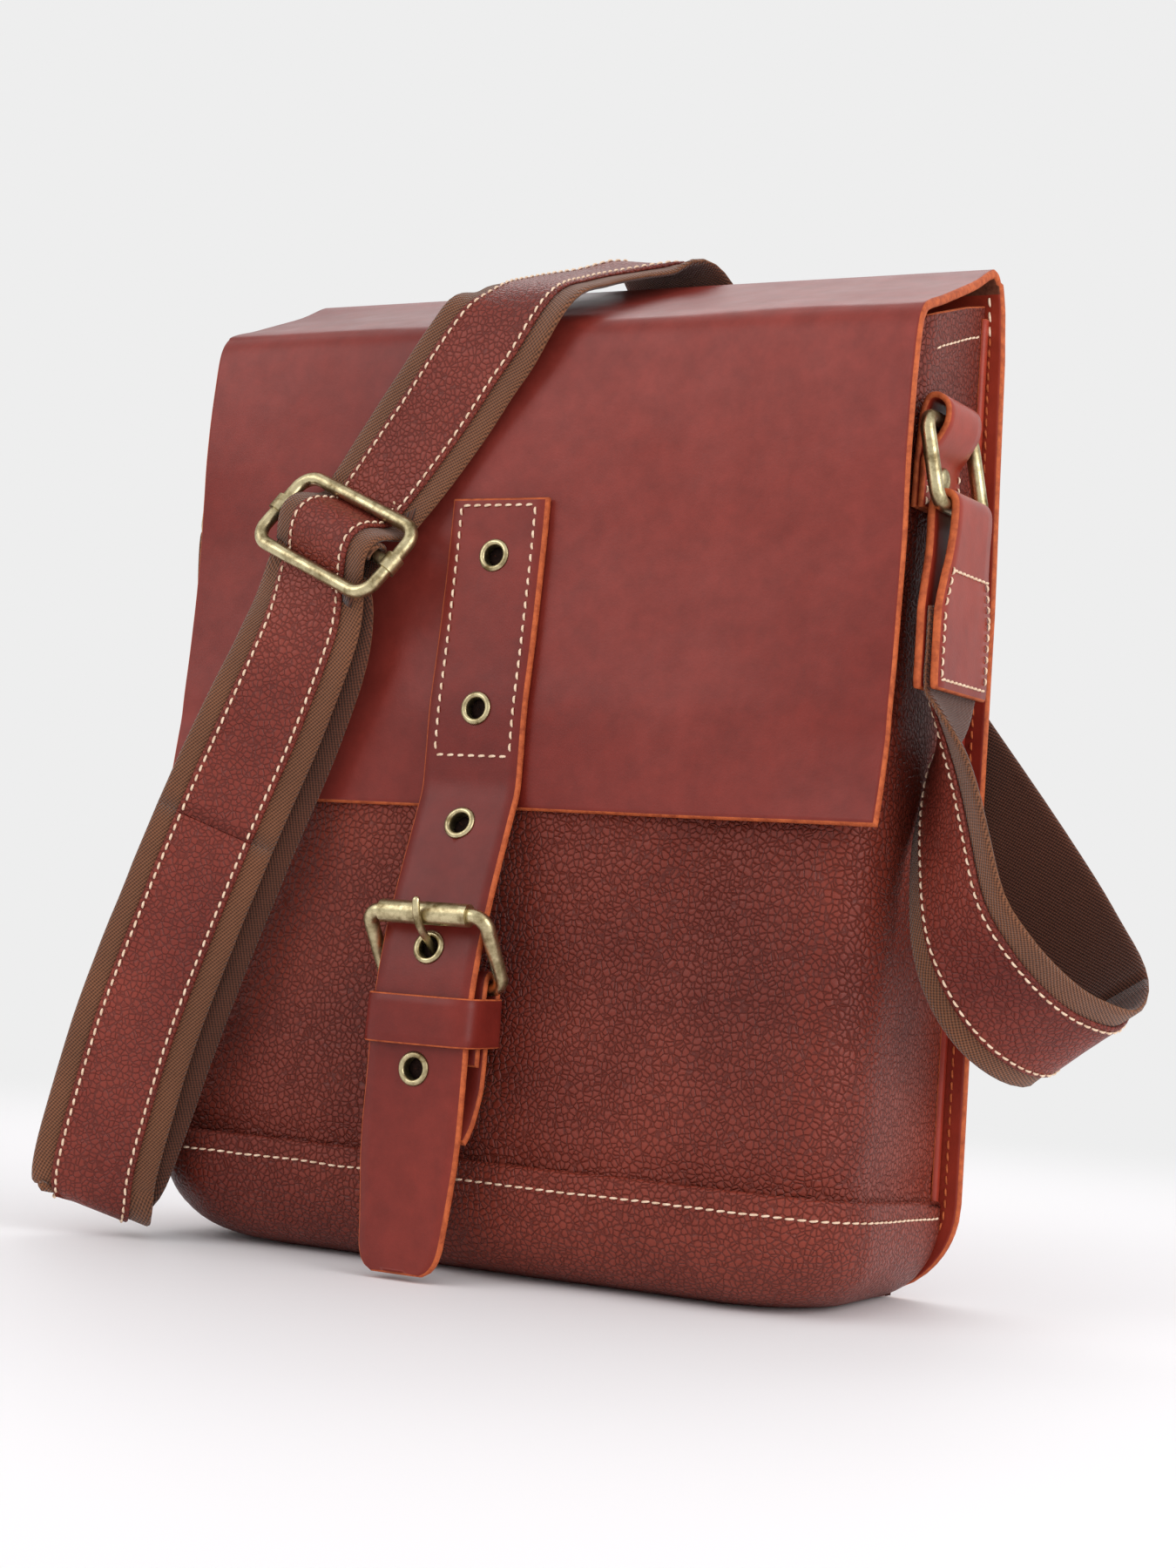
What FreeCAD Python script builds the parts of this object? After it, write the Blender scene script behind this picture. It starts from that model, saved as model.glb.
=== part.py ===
import FreeCAD, Part
import math
import os

os.makedirs("parts", exist_ok=True)
V = FreeCAD.Vector

# Leather messenger satchel, in millimetres. Shapes are drawn with the back face in the
# plane y = 0, the front towards -Y and the floor at z = 0. save() then moves every shape
# forward, so that the origin is the middle of the base, on the floor.

# Driving dimensions
base_middle = 40.0        # from the back face to the middle of the base
body_half = 121.0         # outer face of a gusset from the middle
flange_half = 129.0       # the back panel stands out past the gussets
back_thick = 4.0
back_top = 311.3
corner_round = 30.0       # lower corners of the back panel
panel_thick = 2.0
mouth_front = 293.5       # top of the front panel
seam_height = 35.0        # seam between the front panel and the bottom band
lining_thick = 0.8
lining_gap = 0.4
flap_half = 124.5
flap_thick = 2.8
hinge_y = -1.4            # the crease where the flap leaves the back panel
hinge_z = 313.3
strap_middle = -9.0       # the closure strap lies a little left of the middle
closure_width = 34.0
closure_thick = 3.0
eyelet_heights = (219.7, 171.8, 135.6, 98.4, 62.5)
eyelet_hole = 3.4
eyelet_barrel = 4.0
eyelet_rim = 5.3
buckle_wire = 2.3
buckle_span = 40.9        # between the side bars' centres
hinge_bar = (-86.0, 87.0)
roller_axis = (-100.0, 108.5)
roller_radius = 3.5
roller_length = 30.5
running_gap = 0.06
prong_radius = 1.2
keeper_low = 69.0
keeper_high = 84.3
snap_height = 58.5
snap_radius = 8.0
webbing_width = 40.0
webbing_thick = 2.0
facing_width = 26.0
facing_thick = 1.1
ring_wire = 2.25
ring_span = 38.0          # between the side bars' centres
left_ring_span = 45.5     # the bare webbing passes through this one
ring_middle = -43.0
left_ring_middle = -37.0
ring_top = (126.2, 262.5)
ring_bottom = (131.6, 236.5)
left_ring_top = (-126.2, 262.5)
left_ring_bottom = (-129.2, 228.5)
slider_middle = V(-61.3, -84.0, 225.6)
slider_across = V(0.91, -0.12, -0.39).normalize()
slider_up = V(0.40, 0.44, 0.80).normalize()
slider_span = 51.0
slider_rise = 27.6
slider_wire = 2.2
slider_bar_radius = 2.0


def save(name, shape):
    """Move the shape to the row's origin and write it."""
    placed = shape.copy()
    placed.translate(V(0, base_middle, 0))
    placed.exportStep("parts/" + name + ".step")


def spline(points):
    curve = Part.BSplineCurve()
    curve.interpolate(points)
    return curve


def blend_four(a, b, c, d, t):
    """A smooth curve through b and c."""
    return (b * 2 + (c - a) * t + (a * 2 - b * 5 + c * 4 - d) * (t * t)
            + (b * 3 - a - c * 3 + d) * (t * t * t)) * 0.5


def smoothed(points, steps):
    """The points with steps - 1 more between each pair, on a smooth curve through all of them."""
    last = len(points) - 1
    line = []
    for i in range(last):
        four = [points[max(i - 1, 0)], points[i], points[i + 1], points[min(i + 2, last)]]
        line += [blend_four(*four, k / steps) for k in range(steps)]
    return line + [points[-1]]


def band(path, thick, push):
    """A strip of even thickness along a path in one plane, pushed along push."""
    line = smoothed(path, 3)
    sides = ([], [])
    for i, point in enumerate(line):
        before = (point - line[i - 1]) if i > 0 else (line[1] - point)
        after = (line[i + 1] - point) if i < len(line) - 1 else before
        along = before.normalize() + after.normalize()
        out = along.cross(push).normalize() * (thick / 2)
        sides[0].append(point + out)
        sides[1].append(point - out)
    return prism(sides[0] + sides[1][::-1], push).removeSplitter()


def side_band(path, thick, low_x, high_x):
    """A strip whose path is given as y and z and which runs across the bag."""
    return band([V(low_x, y, z) for y, z in path], thick, V(high_x - low_x, 0, 0))


def end_band(path, thick, low_y, high_y):
    """A strip whose path is given as x and z and which runs from front to back."""
    return band([V(x, low_y, z) for x, z in path], thick, V(0, high_y - low_y, 0))


def prism(points, push):
    return Part.Face(Part.makePolygon(points + [points[0]])).extrude(push)


def box(low, high):
    return Part.makeBox(high[0] - low[0], high[1] - low[1], high[2] - low[2], V(*low))


def mirrored(shape):
    return shape.mirror(V(0, 0, 0), V(1, 0, 0))


def round_loop(across, up, middle, width, height, corner, wire):
    """A closed wire frame with rounded corners; width and height are between wire centres."""
    out = across.cross(up).normalize()
    rod = []
    for turn in range(4):
        angle = turn * 90
        long_way = (width if turn % 2 == 0 else height) / 2 - corner
        far = (height if turn % 2 == 0 else width) / 2
        turned = FreeCAD.Rotation(out, angle)
        side = turned.multVec(across)
        outward = turned.multVec(up) * -1
        start = middle + outward * far - side * long_way
        end = middle + outward * far + side * long_way
        rod.append(Part.makeCylinder(wire, 2 * long_way, start, side))
        centre = end - outward * corner
        disc = Part.Face(Part.Wire(Part.makeCircle(wire, end, side)))
        rod.append(disc.revolve(centre, out, 90))
    return rod[0].fuse(rod[1:]).removeSplitter()


def tube(centre, axis, length, outer, inner):
    """A sleeve that is centred on a point."""
    start = centre - axis * (length / 2)
    sleeve = Part.makeCylinder(outer, length, start, axis)
    return sleeve.cut(Part.makeCylinder(inner, length, start, axis))


# The body's side outline, from the mouth down the bulging front to the base
front_path = [(-57.5, mouth_front), (-62.0, 262.0), (-64.2, 225.0), (-67.5, 190.0), (-70.0, 165.0),
              (-71.5, 135.0), (-74.5, 95.0), (-78.5, 60.0), (-80.5, 38.0)]
band_path = [(-82.0, 34.5), (-82.0, 26.0), (-79.5, 15.0), (-72.0, 5.5), (-58.0, 1.5), (-50.0, 1.0),
             (-46.0, 1.0), (-34.0, 1.0), (-30.0, 1.0), (-22.0, 1.4), (-4.4, 3.5)]


def inside_outline(inset):
    """Points of the body's side outline, moved in from the front and base by inset."""
    front = [V(0, y + inset, z) for y, z in front_path]
    under = [V(0, y + inset * 0.8, z + inset) for y, z in band_path[1:-1]]
    rear = -back_thick - inset * 0.25
    back = [V(0, rear, 4.0 + inset), V(0, rear, mouth_front)]
    return front + under + back


# Back panel: the back of the bag, with a flange that shows at the sides and base
plate = box((-flange_half, -back_thick, 0), (flange_half, 0, back_top))
for side in (-1, 1):
    centre = V(side * (flange_half - corner_round), 0, corner_round)
    waste = box((min(centre.x, centre.x + side * corner_round), -back_thick, 0),
                (max(centre.x, centre.x + side * corner_round), 0, corner_round))
    keep = Part.makeCylinder(corner_round, back_thick, centre + V(0, -back_thick, 0), V(0, 1, 0))
    plate = plate.cut(waste.cut(keep))
save("back_panel", plate)

# Front panel and the bottom band, which wraps under the bag to the back panel
save("front_panel", side_band(front_path, panel_thick, -body_half, body_half))
save("bottom_band", side_band(band_path, panel_thick, -body_half, body_half))

# Gussets, inside the ends of the panels they are sewn to
gusset_gap = panel_thick / 2 + 0.2
gusset = prism([p + V(body_half - panel_thick, 0, 0) for p in inside_outline(gusset_gap)],
               V(panel_thick, 0, 0))
gusset_crown = prism([V(body_half - panel_thick, y, z) for y, z in
                      ((-back_thick - 0.4, mouth_front), (-back_thick - 0.4, 304.5), (-21.0, 302.0),
                       (-47.0, 295.8), (-55.5, mouth_front))], V(panel_thick, 0, 0))
gusset = gusset.fuse(gusset_crown).removeSplitter()
save("right_gusset", gusset)
save("left_gusset", mirrored(gusset))

# Folded hem along the top of each gusset, on its inner side
hem_depth = 10.0
hem_line = [(-8.0, 303.4), (-21.0, 301.6), (-47.0, 295.4), (-53.0, 293.6)]
hem_points = hem_line + [(y, z - hem_depth) for y, z in hem_line[::-1]]
hem_x = body_half - 2 * panel_thick - 0.2
hem = prism([V(hem_x, y, z) for y, z in hem_points], V(panel_thick, 0, 0))
save("gusset_hem_right", hem)
save("gusset_hem_left", mirrored(hem))

# Lining: a thin cloth bag that hangs inside the panels, open at the top
lining_low = body_half - 2 * panel_thick - 0.6
outer_bag = prism([p + V(-lining_low, 0, 0) for p in inside_outline(panel_thick + lining_gap)],
                  V(2 * lining_low, 0, 0))
inner_half = lining_low - lining_thick
inner_bag = prism([p + V(-inner_half, 0, 0)
                   for p in inside_outline(panel_thick + lining_gap + lining_thick)],
                  V(2 * inner_half, 0, 0))
lid = box((-body_half, -120.0, mouth_front - 14.0), (body_half, 10.0, mouth_front + 20.0))
save("lining", outer_bag.cut(inner_bag).cut(lid))

# Flap: from the crease at the back, over the sloping top and down the front
flap_path = [(hinge_y, hinge_z), (-2.2, 316.4), (-6.0, 316.8), (-20.0, 311.0), (-45.0, 301.4),
             (-58.0, 296.0), (-63.8, 291.5), (-65.0, 286.0), (-67.2, 262.0), (-67.6, 238.0),
             (-68.0, 220.0), (-71.6, 190.0), (-73.9, 172.0), (-74.2, 155.0), (-74.8, 141.3)]
save("flap", side_band(flap_path, flap_thick, -flap_half, flap_half))

# Closure strap: sewn to the flap at its upper half and hanging free below
sewn = flap_thick / 2 + closure_thick / 2 + 0.4
closure_path = [(y - sewn, z) for y, z in flap_path[9:14]]
closure_path += [(-82.4, 136.0), (-90.4, 114.0), (-95.5, 98.0), (-99.0, 80.0), (-99.6, 62.0),
                 (-99.9, 52.0), (-101.0, 30.0), (-102.6, 1.0)]
closure_low = strap_middle - closure_width / 2
closure_high = strap_middle + closure_width / 2
tip_half = 14.0
tip_start = 34.0
outline = prism([V(closure_low, -130, 238.2), V(closure_high, -130, 238.2), V(closure_high, -130, tip_start),
                 V(strap_middle + tip_half, -130, 7.0), V(strap_middle + tip_half - 5.0, -130, 0.8),
                 V(strap_middle - tip_half + 5.0, -130, 0.8), V(strap_middle - tip_half, -130, 7.0),
                 V(closure_low, -130, tip_start)], V(0, 80, 0))
closure = side_band(closure_path, closure_thick, closure_low, closure_high).common(outline)


def closure_point(height):
    """The strap's middle and its outward direction at a height."""
    curve = spline([V(strap_middle, y, z) for y, z in closure_path])
    cut = curve.intersect(Part.Plane(V(0, 0, height), V(0, 0, 1)))[0][0]
    point = V(cut.X, cut.Y, cut.Z)
    along = curve.tangent(curve.parameter(point))[0]
    return point, V(0, along.z, -along.y).normalize()


eyelets = []
for height in eyelet_heights:
    middle, out = closure_point(height)
    if out.y > 0:
        out = out * -1
    closure = closure.cut(Part.makeCylinder(eyelet_barrel, 8.0, middle - out * 4.0, out))
    barrel = tube(middle, out, closure_thick, eyelet_barrel, eyelet_hole)
    face = tube(middle + out * (closure_thick / 2 + 0.45), out, 0.9, eyelet_rim, eyelet_hole)
    eyelets.append(barrel.fuse(face).removeSplitter())
save("closure_strap", closure)
save("eyelets", Part.makeCompound(eyelets))

# Buckle tab: folded round the buckle's hinge bar, its free end turned out behind the strap
bar_y, bar_z = hinge_bar
wrap = buckle_wire + 0.4 + 1.2
tab_path = [(-92.0, 63.0), (-91.4, 76.0), (bar_y - wrap, bar_z - 1.0),
            (bar_y - wrap * 0.7, bar_z + wrap * 0.7), (bar_y, bar_z + wrap),
            (bar_y + wrap * 0.7, bar_z + wrap * 0.7), (bar_y + wrap, bar_z - 1.0), (-84.4, 77.0),
            (-87.0, 70.0), (-87.6, 62.0), (-88.6, 55.0), (-92.4, 46.0), (-96.4, 41.6)]
tab = side_band(tab_path, 2.4, closure_low, closure_high)
tab = tab.cut(box((strap_middle - 2.6, -95.0, 78.0), (strap_middle + 2.6, -80.0, 95.0)))
save("buckle_tab", tab)

# Roller buckle
frame_up = V(0, roller_axis[0] - bar_y, roller_axis[1] - bar_z)
frame_rise = frame_up.Length
frame_up.normalize()
frame_middle = V(strap_middle, (bar_y + roller_axis[0]) / 2, (bar_z + roller_axis[1]) / 2)
save("buckle_frame", round_loop(V(1, 0, 0), frame_up, frame_middle, buckle_span, frame_rise, 4.6, buckle_wire))
save("buckle_roller", tube(V(strap_middle, roller_axis[0], roller_axis[1]), V(1, 0, 0), roller_length,
                           roller_radius, buckle_wire + running_gap))
prong_path = [V(strap_middle, y, z) for y, z in ((-88.0, 89.8), (-91.6, 94.6), (-95.4, 98.6), (-101.3, 103.0),
                                                 (-104.9, 107.5), (-105.8, 112.2))]
prong_line = spline(prong_path)
prong_wire = Part.Wire(prong_line.toShape())
prong_end = Part.Wire(Part.makeCircle(prong_radius, prong_path[0], prong_line.tangent(prong_line.FirstParameter)[0]))
prong = prong_wire.makePipeShell([prong_end], True, False)
prong = prong.fuse(Part.makeSphere(prong_radius, prong_path[-1]))
eye = tube(V(strap_middle, bar_y, bar_z), V(1, 0, 0), 3.4, buckle_wire + 1.7, buckle_wire + running_gap)
prong = prong.cut(Part.makeCylinder(buckle_wire + 1.0, 8, V(strap_middle - 4, bar_y, bar_z), V(1, 0, 0)))
save("buckle_prong", eye.fuse(prong).removeSplitter())

# Keeper: a flat loop round the strap and the tab
keeper_half = closure_width / 2 + 0.5
keeper_thick = 1.6


def keeper_prism(half, front, rear):
    return prism([V(strap_middle - half, front, keeper_low), V(strap_middle - half, rear, keeper_low),
                  V(strap_middle + half, rear, keeper_low), V(strap_middle + half, front, keeper_low)],
                 V(0, 0, keeper_high - keeper_low))


keeper_front = -103.6
keeper_rear = -79.0
keeper = keeper_prism(keeper_half + keeper_thick, keeper_front, keeper_rear)
keeper = keeper.cut(keeper_prism(keeper_half, keeper_front + keeper_thick, keeper_rear - keeper_thick))
save("keeper", keeper)

# Magnetic snap between the tab and the front panel
ahead = V(0, -1, 0)
socket_back = V(strap_middle, -80.5, snap_height)
socket = Part.makeCylinder(snap_radius, 2.2, socket_back, ahead)
socket = socket.cut(Part.makeCylinder(4.5, 1.2, socket_back + ahead * 1.0, ahead))
save("snap_socket", socket)
stud_back = V(strap_middle, -85.6, snap_height)
stud = Part.makeCylinder(snap_radius, 2.4, stud_back, V(0, 1, 0))
stud = stud.fuse(Part.makeCylinder(2.8, 0.9, stud_back + V(0, 2.4, 0), V(0, 1, 0)))
save("snap_stud", stud)

# Rectangular rings at both sides
def side_ring(top, bottom, middle, span):
    """A ring whose upper and lower bars run from front to back at the given x and z."""
    up = V(top[0] - bottom[0], 0, top[1] - bottom[1])
    rise = up.Length
    up.normalize()
    centre = V((top[0] + bottom[0]) / 2, middle, (top[1] + bottom[1]) / 2)
    return round_loop(V(0, 1, 0), up, centre, span, rise, 5.0, ring_wire)


save("ring_right", side_ring(ring_top, ring_bottom, ring_middle, ring_span))
save("ring_left", side_ring(left_ring_top, left_ring_bottom, left_ring_middle, left_ring_span))

# Ring tabs: leather loops on the gussets that hold the rings' upper bars
top_x, top_z = ring_top
tab_half = 13.5
ring_tab_path = [(body_half + 1.2, 237.0), (body_half + 1.2, 250.0), (body_half + 1.2, 258.0),
                 (body_half + 1.6, 264.0), (top_x - 1.9, top_z + 6.2), (top_x + 1.2, top_z + 6.8),
                 (top_x + 4.2, top_z + 4.2), (top_x + 4.4, top_z - 1.0), (top_x + 1.6, top_z - 6.5),
                 (body_half + 3.6, 252.0), (body_half + 3.4, 247.0), (body_half + 3.4, 237.0)]
ring_tab = end_band(ring_tab_path, 1.8, ring_middle - tab_half, ring_middle + tab_half)
rivet_height = 246.0
rivet_start = V(body_half + 0.2, ring_middle, rivet_height)
ring_tab = ring_tab.cut(Part.makeCylinder(2.0, 8.0, rivet_start, V(1, 0, 0)))
save("ring_tab_right", ring_tab)
left_shift = V(0, left_ring_middle - ring_middle, 0)
save("ring_tab_left", mirrored(ring_tab).translated(left_shift))
rivet = Part.makeCylinder(2.0, 4.2, rivet_start, V(1, 0, 0))
rivet = rivet.fuse(Part.makeCylinder(4.0, 1.2, rivet_start + V(4.2, 0, 0), V(1, 0, 0)))
save("ring_rivets", Part.makeCompound([rivet, mirrored(rivet).translated(left_shift)]))

# Strap end tab: leather folded round the right ring's lower bar, over the webbing's end
low_x, low_z = ring_bottom
end_wrap = ring_wire + 0.3 + 1.2
end_path = [(130.0, 183.0), (130.0, 205.0), (129.4, 221.0), (low_x - end_wrap, low_z - 1.0),
            (low_x - end_wrap * 0.7, low_z + end_wrap * 0.7), (low_x, low_z + end_wrap),
            (low_x + end_wrap * 0.7, low_z + end_wrap * 0.7), (low_x + end_wrap, low_z - 1.0),
            (135.2, 222.0), (135.0, 205.0), (135.0, 183.0)]
end_middle = -46.0
end_tab = end_band(end_path, 2.4, end_middle - 21.0, end_middle + 21.0)
for side in (-1, 1):
    inner_y = end_middle + 3.0 + side * 15.0
    outer_y = end_middle + side * 30.0
    shoulder = [V(120, inner_y, 246), V(120, inner_y, 220), V(120, end_middle + side * 21.0, 208),
                V(120, outer_y, 208), V(120, outer_y, 246)]
    end_tab = end_tab.cut(prism(shoulder, V(30, 0, 0)))
save("strap_end_tab", end_tab)

# Slider: a two-slot adjuster frame, and the bar across its middle that the webbing ends on
slider = round_loop(slider_across, slider_up, slider_middle, slider_span, slider_rise, 6.0, slider_wire)
save("slider_frame", slider)
bar_half = slider_span / 2
slider_bar = Part.makeCylinder(slider_bar_radius, 2 * bar_half, slider_middle - slider_across * bar_half, slider_across)
sleeve_length = 5.4
for side in (-1, 1):
    sleeve_start = slider_middle + slider_across * (side * bar_half) - slider_up * (sleeve_length / 2)
    slider_bar = slider_bar.fuse(Part.makeCylinder(slider_wire + 0.9, sleeve_length, sleeve_start, slider_up))
    hole_start = sleeve_start - slider_up
    slider_bar = slider_bar.cut(Part.makeCylinder(slider_wire + running_gap, sleeve_length + 2.0, hole_start, slider_up))
slider_bar = slider_bar.removeSplitter()
save("slider_bar", slider_bar)

# Shoulder strap: the middle line of the webbing and the direction across it, by hand.
# It runs from the right end tab round behind the bag, over the top, down the front through
# the slider, round a fold at the floor and up to the left ring.
route = [
    ((132.5, -46.0, 206.0), (0, -1, 0)),
    ((132.5, -46.0, 194.0), (0, -1, 0)),
    ((132.5, -46.0, 184.0), (0, -1, 0)),
    ((132.6, -46.6, 175.0), (0.12, -1, 0)),
    ((133.2, -50.5, 160.0), (0.55, -0.83, 0)),
    ((139.0, -58.0, 138.0), (0.79, -0.61, -0.02)),
    ((145.0, -60.0, 115.0), (0.81, -0.40, 0.42)),
    ((154.0, -52.0, 96.0), (0.72, -0.22, 0.67)),
    ((163.0, -39.0, 85.0), (0.76, -0.10, 0.64)),
    ((170.0, -22.0, 82.0), (0.80, 0, 0.60)),
    ((168.0, -5.0, 92.0), (0.80, 0, 0.60)),
    ((156.0, 4.0, 108.0), (0.79, 0, 0.61)),
    ((137.0, 6.0, 133.6), (0.78, 0, 0.62)),
    ((94.0, 7.0, 188.0), (0.79, 0, 0.61)),
    ((53.0, 7.0, 241.0), (0.82, 0, 0.57)),
    ((25.0, 7.0, 286.0), (0.87, -0.02, 0.50)),
    ((11.5, 7.0, 313.0), (0.92, -0.10, 0.32)),
    ((3.0, -2.6, 325.6), (0.95, -0.26, -0.14)),
    ((-6.0, -22.0, 319.5), (0.93, -0.32, -0.13)),
    ((-9.0, -44.0, 312.0), (0.95, -0.25, -0.12)),
    ((-9.0, -62.0, 305.0), (0.98, -0.15, -0.10)),
    ((-13.0, -71.0, 295.0), (0.99, 0.03, -0.10)),
    ((-22.0, -73.0, 282.0), (0.95, 0, -0.30)),
    ((-34.0, -72.8, 265.0), (0.89, 0, -0.45)),
    ((-45.5, -73.0, 249.5), (0.90, -0.05, -0.42)),
    ((-55.0, -73.4, 236.9), (0.91, -0.12, -0.39)),
    ((-56.1, -73.7, 234.5), (0.91, -0.12, -0.39)),
    ((-57.5, -76.7, 232.2), (0.91, -0.12, -0.39)),
    ((-59.2, -85.4, 230.9), (0.91, -0.12, -0.39)),
    ((-60.9, -89.2, 228.2), (0.91, -0.12, -0.39)),
    ((-62.8, -89.4, 223.7), (0.91, -0.12, -0.39)),
    ((-65.6, -85.9, 216.1), (0.91, -0.12, -0.39)),
    ((-67.2, -85.8, 212.4), (0.91, -0.12, -0.39)),
    ((-68.0, -88.0, 198.0), (0.92, 0.05, -0.39)),
    ((-71.0, -91.0, 184.0), (0.90, 0.15, -0.40)),
    ((-78.5, -94.5, 161.0), (0.87, 0.32, -0.37)),
    ((-89.5, -98.0, 131.0), (0.85, 0.38, -0.36)),
    ((-100.0, -101.0, 100.0), (0.85, 0.38, -0.36)),
    ((-110.0, -103.5, 69.0), (0.85, 0.40, -0.34)),
    ((-117.5, -105.0, 39.0), (0.85, 0.40, -0.34)),
    ((-121.3, -105.4, 21.0), (0.85, 0.41, -0.34)),
    ((-123.2, -103.2, 12.5), (0.80, 0.48, -0.35)),
    ((-127.0, -98.8, 10.2), (0.70, 0.63, -0.33)),
    ((-132.0, -95.0, 14.5), (0.54, 0.79, -0.28)),
    ((-133.4, -88.5, 26.0), (0.40, 0.90, -0.18)),
    ((-132.3, -81.5, 42.0), (0.28, 0.96, -0.09)),
    ((-130.6, -71.5, 64.0), (0.17, 0.98, -0.04)),
    ((-127.8, -57.0, 105.0), (0.05, 1, 0)),
    ((-127.8, -45.0, 150.0), (0, 1, 0)),
    ((-131.0, -38.0, 190.0), (0, 1, 0)),
    ((-133.2, -37.0, 216.0), (0, 1, 0)),
]

# The same webbing on from there: over the left ring's lower bar, down inside the first layer,
# and up behind the front run to the slider's bar.
inner_route = [
    ((-133.5, -37.0, 228.5), (0, 1, 0)),
    ((-132.4, -37.0, 231.8), (0, 1, 0)),
    ((-129.2, -37.0, 233.1), (0, 1, 0)),
    ((-126.0, -37.0, 231.8), (0, 1, 0)),
    ((-124.8, -37.0, 228.5), (0, 1, 0)),
    ((-124.4, -37.0, 216.0), (0, 1, 0)),
    ((-124.2, -38.0, 190.0), (0, 1, 0)),
    ((-124.0, -45.0, 150.0), (0, 1, 0)),
    ((-124.6, -57.0, 105.0), (0.05, 1, 0)),
    ((-127.0, -71.0, 62.0), (0.20, 0.98, -0.05)),
    ((-129.2, -83.0, 39.0), (0.32, 0.94, -0.12)),
    ((-132.0, -93.6, 27.0), (0.46, 0.86, -0.22)),
    ((-127.6, -99.8, 20.5), (0.66, 0.69, -0.30)),
    ((-121.0, -100.5, 22.0), (0.80, 0.50, -0.33)),
    ((-117.0, -100.5, 30.0), (0.85, 0.41, -0.34)),
    ((-113.5, -99.5, 42.0), (0.85, 0.40, -0.34)),
    ((-105.5, -98.0, 69.0), (0.85, 0.40, -0.34)),
    ((-95.5, -95.5, 100.0), (0.85, 0.38, -0.36)),
    ((-85.0, -92.5, 131.0), (0.85, 0.38, -0.36)),
    ((-74.5, -89.0, 161.0), (0.87, 0.32, -0.37)),
    ((-67.5, -86.0, 184.0), (0.90, 0.15, -0.40)),
    ((-66.0, -83.8, 200.0), (0.91, 0.02, -0.39)),
    ((-67.3, -83.3, 211.3), (0.91, -0.12, -0.39)),
    ((-64.5, -82.5, 217.8), (0.91, -0.12, -0.39)),
    ((-61.6, -81.0, 224.1), (0.91, -0.12, -0.39)),
    ((-60.5, -80.8, 226.4), (0.91, -0.12, -0.39)),
    ((-59.9, -82.5, 228.3), (0.91, -0.12, -0.39)),
    ((-60.2, -85.1, 228.6), (0.91, -0.12, -0.39)),
    ((-61.0, -87.0, 227.1), (0.91, -0.12, -0.39)),
    ((-61.4, -87.3, 226.4), (0.91, -0.12, -0.39)),
]
steps = 2                 # sections from one point of the route to the next


def route_frames(stations):
    """Middle, across and outward directions at even steps along the stations."""
    middles = smoothed([V(*middle) for middle, _ in stations], steps)
    acrosses = smoothed([V(*across) for _, across in stations], steps)
    frames = []
    for i, middle in enumerate(middles):
        along = middles[min(i + 1, len(middles) - 1)] - middles[max(i - 1, 0)]
        along.normalize()
        across = acrosses[i]
        across = (across - along * across.dot(along)).normalize()
        frames.append((middle, across, along.cross(across)))
    return frames


def ribbon(frames, width, low, high):
    """A closed strip from low to high along the outward direction, in flat three-sided faces."""
    rings = []
    for middle, across, out in frames:
        half = across * (width / 2)
        rings.append([middle - half + out * low, middle + half + out * low,
                      middle + half + out * high, middle - half + out * high])
    corners = []
    for first, second in zip(rings, rings[1:]):
        for i in range(4):
            j = (i + 1) % 4
            corners.append((first[i], first[j], second[j]))
            corners.append((first[i], second[j], second[i]))
    for a, b, c, d in (rings[0], rings[-1][::-1]):
        corners.append((a, b, c))
        corners.append((a, c, d))
    shell = Part.makeShell([Part.Face(Part.makePolygon([a, b, c, a])) for a, b, c in corners])
    solid = Part.makeSolid(shell)
    if solid.Volume < 0:
        solid.reverse()
    return solid


frames = route_frames(route + inner_route)
webbing = ribbon(frames, webbing_width, -webbing_thick / 2, webbing_thick / 2)
facing_frames = frames[5:steps * (len(route) - 1)]
facing = ribbon(facing_frames, facing_width, webbing_thick / 2 + 0.05, webbing_thick / 2 + 0.05 + facing_thick)
length = sum((b[0] - a[0]).Length for a, b in zip(frames, frames[1:]))
save("shoulder_webbing", webbing)
save("strap_facing", facing)
print("webbing length", round(length), "volume ratio",
      round(webbing.Volume / (length * webbing_width * webbing_thick), 3), webbing.isValid(), facing.isValid())
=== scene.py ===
import math
import random

import bpy
from mathutils import Matrix, Vector, noise


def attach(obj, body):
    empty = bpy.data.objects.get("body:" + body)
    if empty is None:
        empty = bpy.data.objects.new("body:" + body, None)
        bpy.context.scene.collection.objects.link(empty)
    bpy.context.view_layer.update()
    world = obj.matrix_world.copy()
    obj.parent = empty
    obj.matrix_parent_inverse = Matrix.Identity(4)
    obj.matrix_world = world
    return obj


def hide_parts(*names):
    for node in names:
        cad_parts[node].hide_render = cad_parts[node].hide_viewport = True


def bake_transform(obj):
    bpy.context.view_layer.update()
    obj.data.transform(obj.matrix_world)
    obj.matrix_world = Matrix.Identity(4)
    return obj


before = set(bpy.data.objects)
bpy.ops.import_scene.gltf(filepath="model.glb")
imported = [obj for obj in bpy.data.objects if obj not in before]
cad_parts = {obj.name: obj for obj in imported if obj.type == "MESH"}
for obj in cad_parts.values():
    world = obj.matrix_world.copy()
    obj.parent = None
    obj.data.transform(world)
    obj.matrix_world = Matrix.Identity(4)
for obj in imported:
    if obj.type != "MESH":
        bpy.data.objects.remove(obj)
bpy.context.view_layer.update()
random.seed(7)

# Shapes are worked out in millimetres with the bag's back in the plane y = 0, the front
# towards -y and the floor at z = 0. BACK moves them to the shared frame.
BACK = Vector((0, 40, 0))


# ---------- helpers

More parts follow.
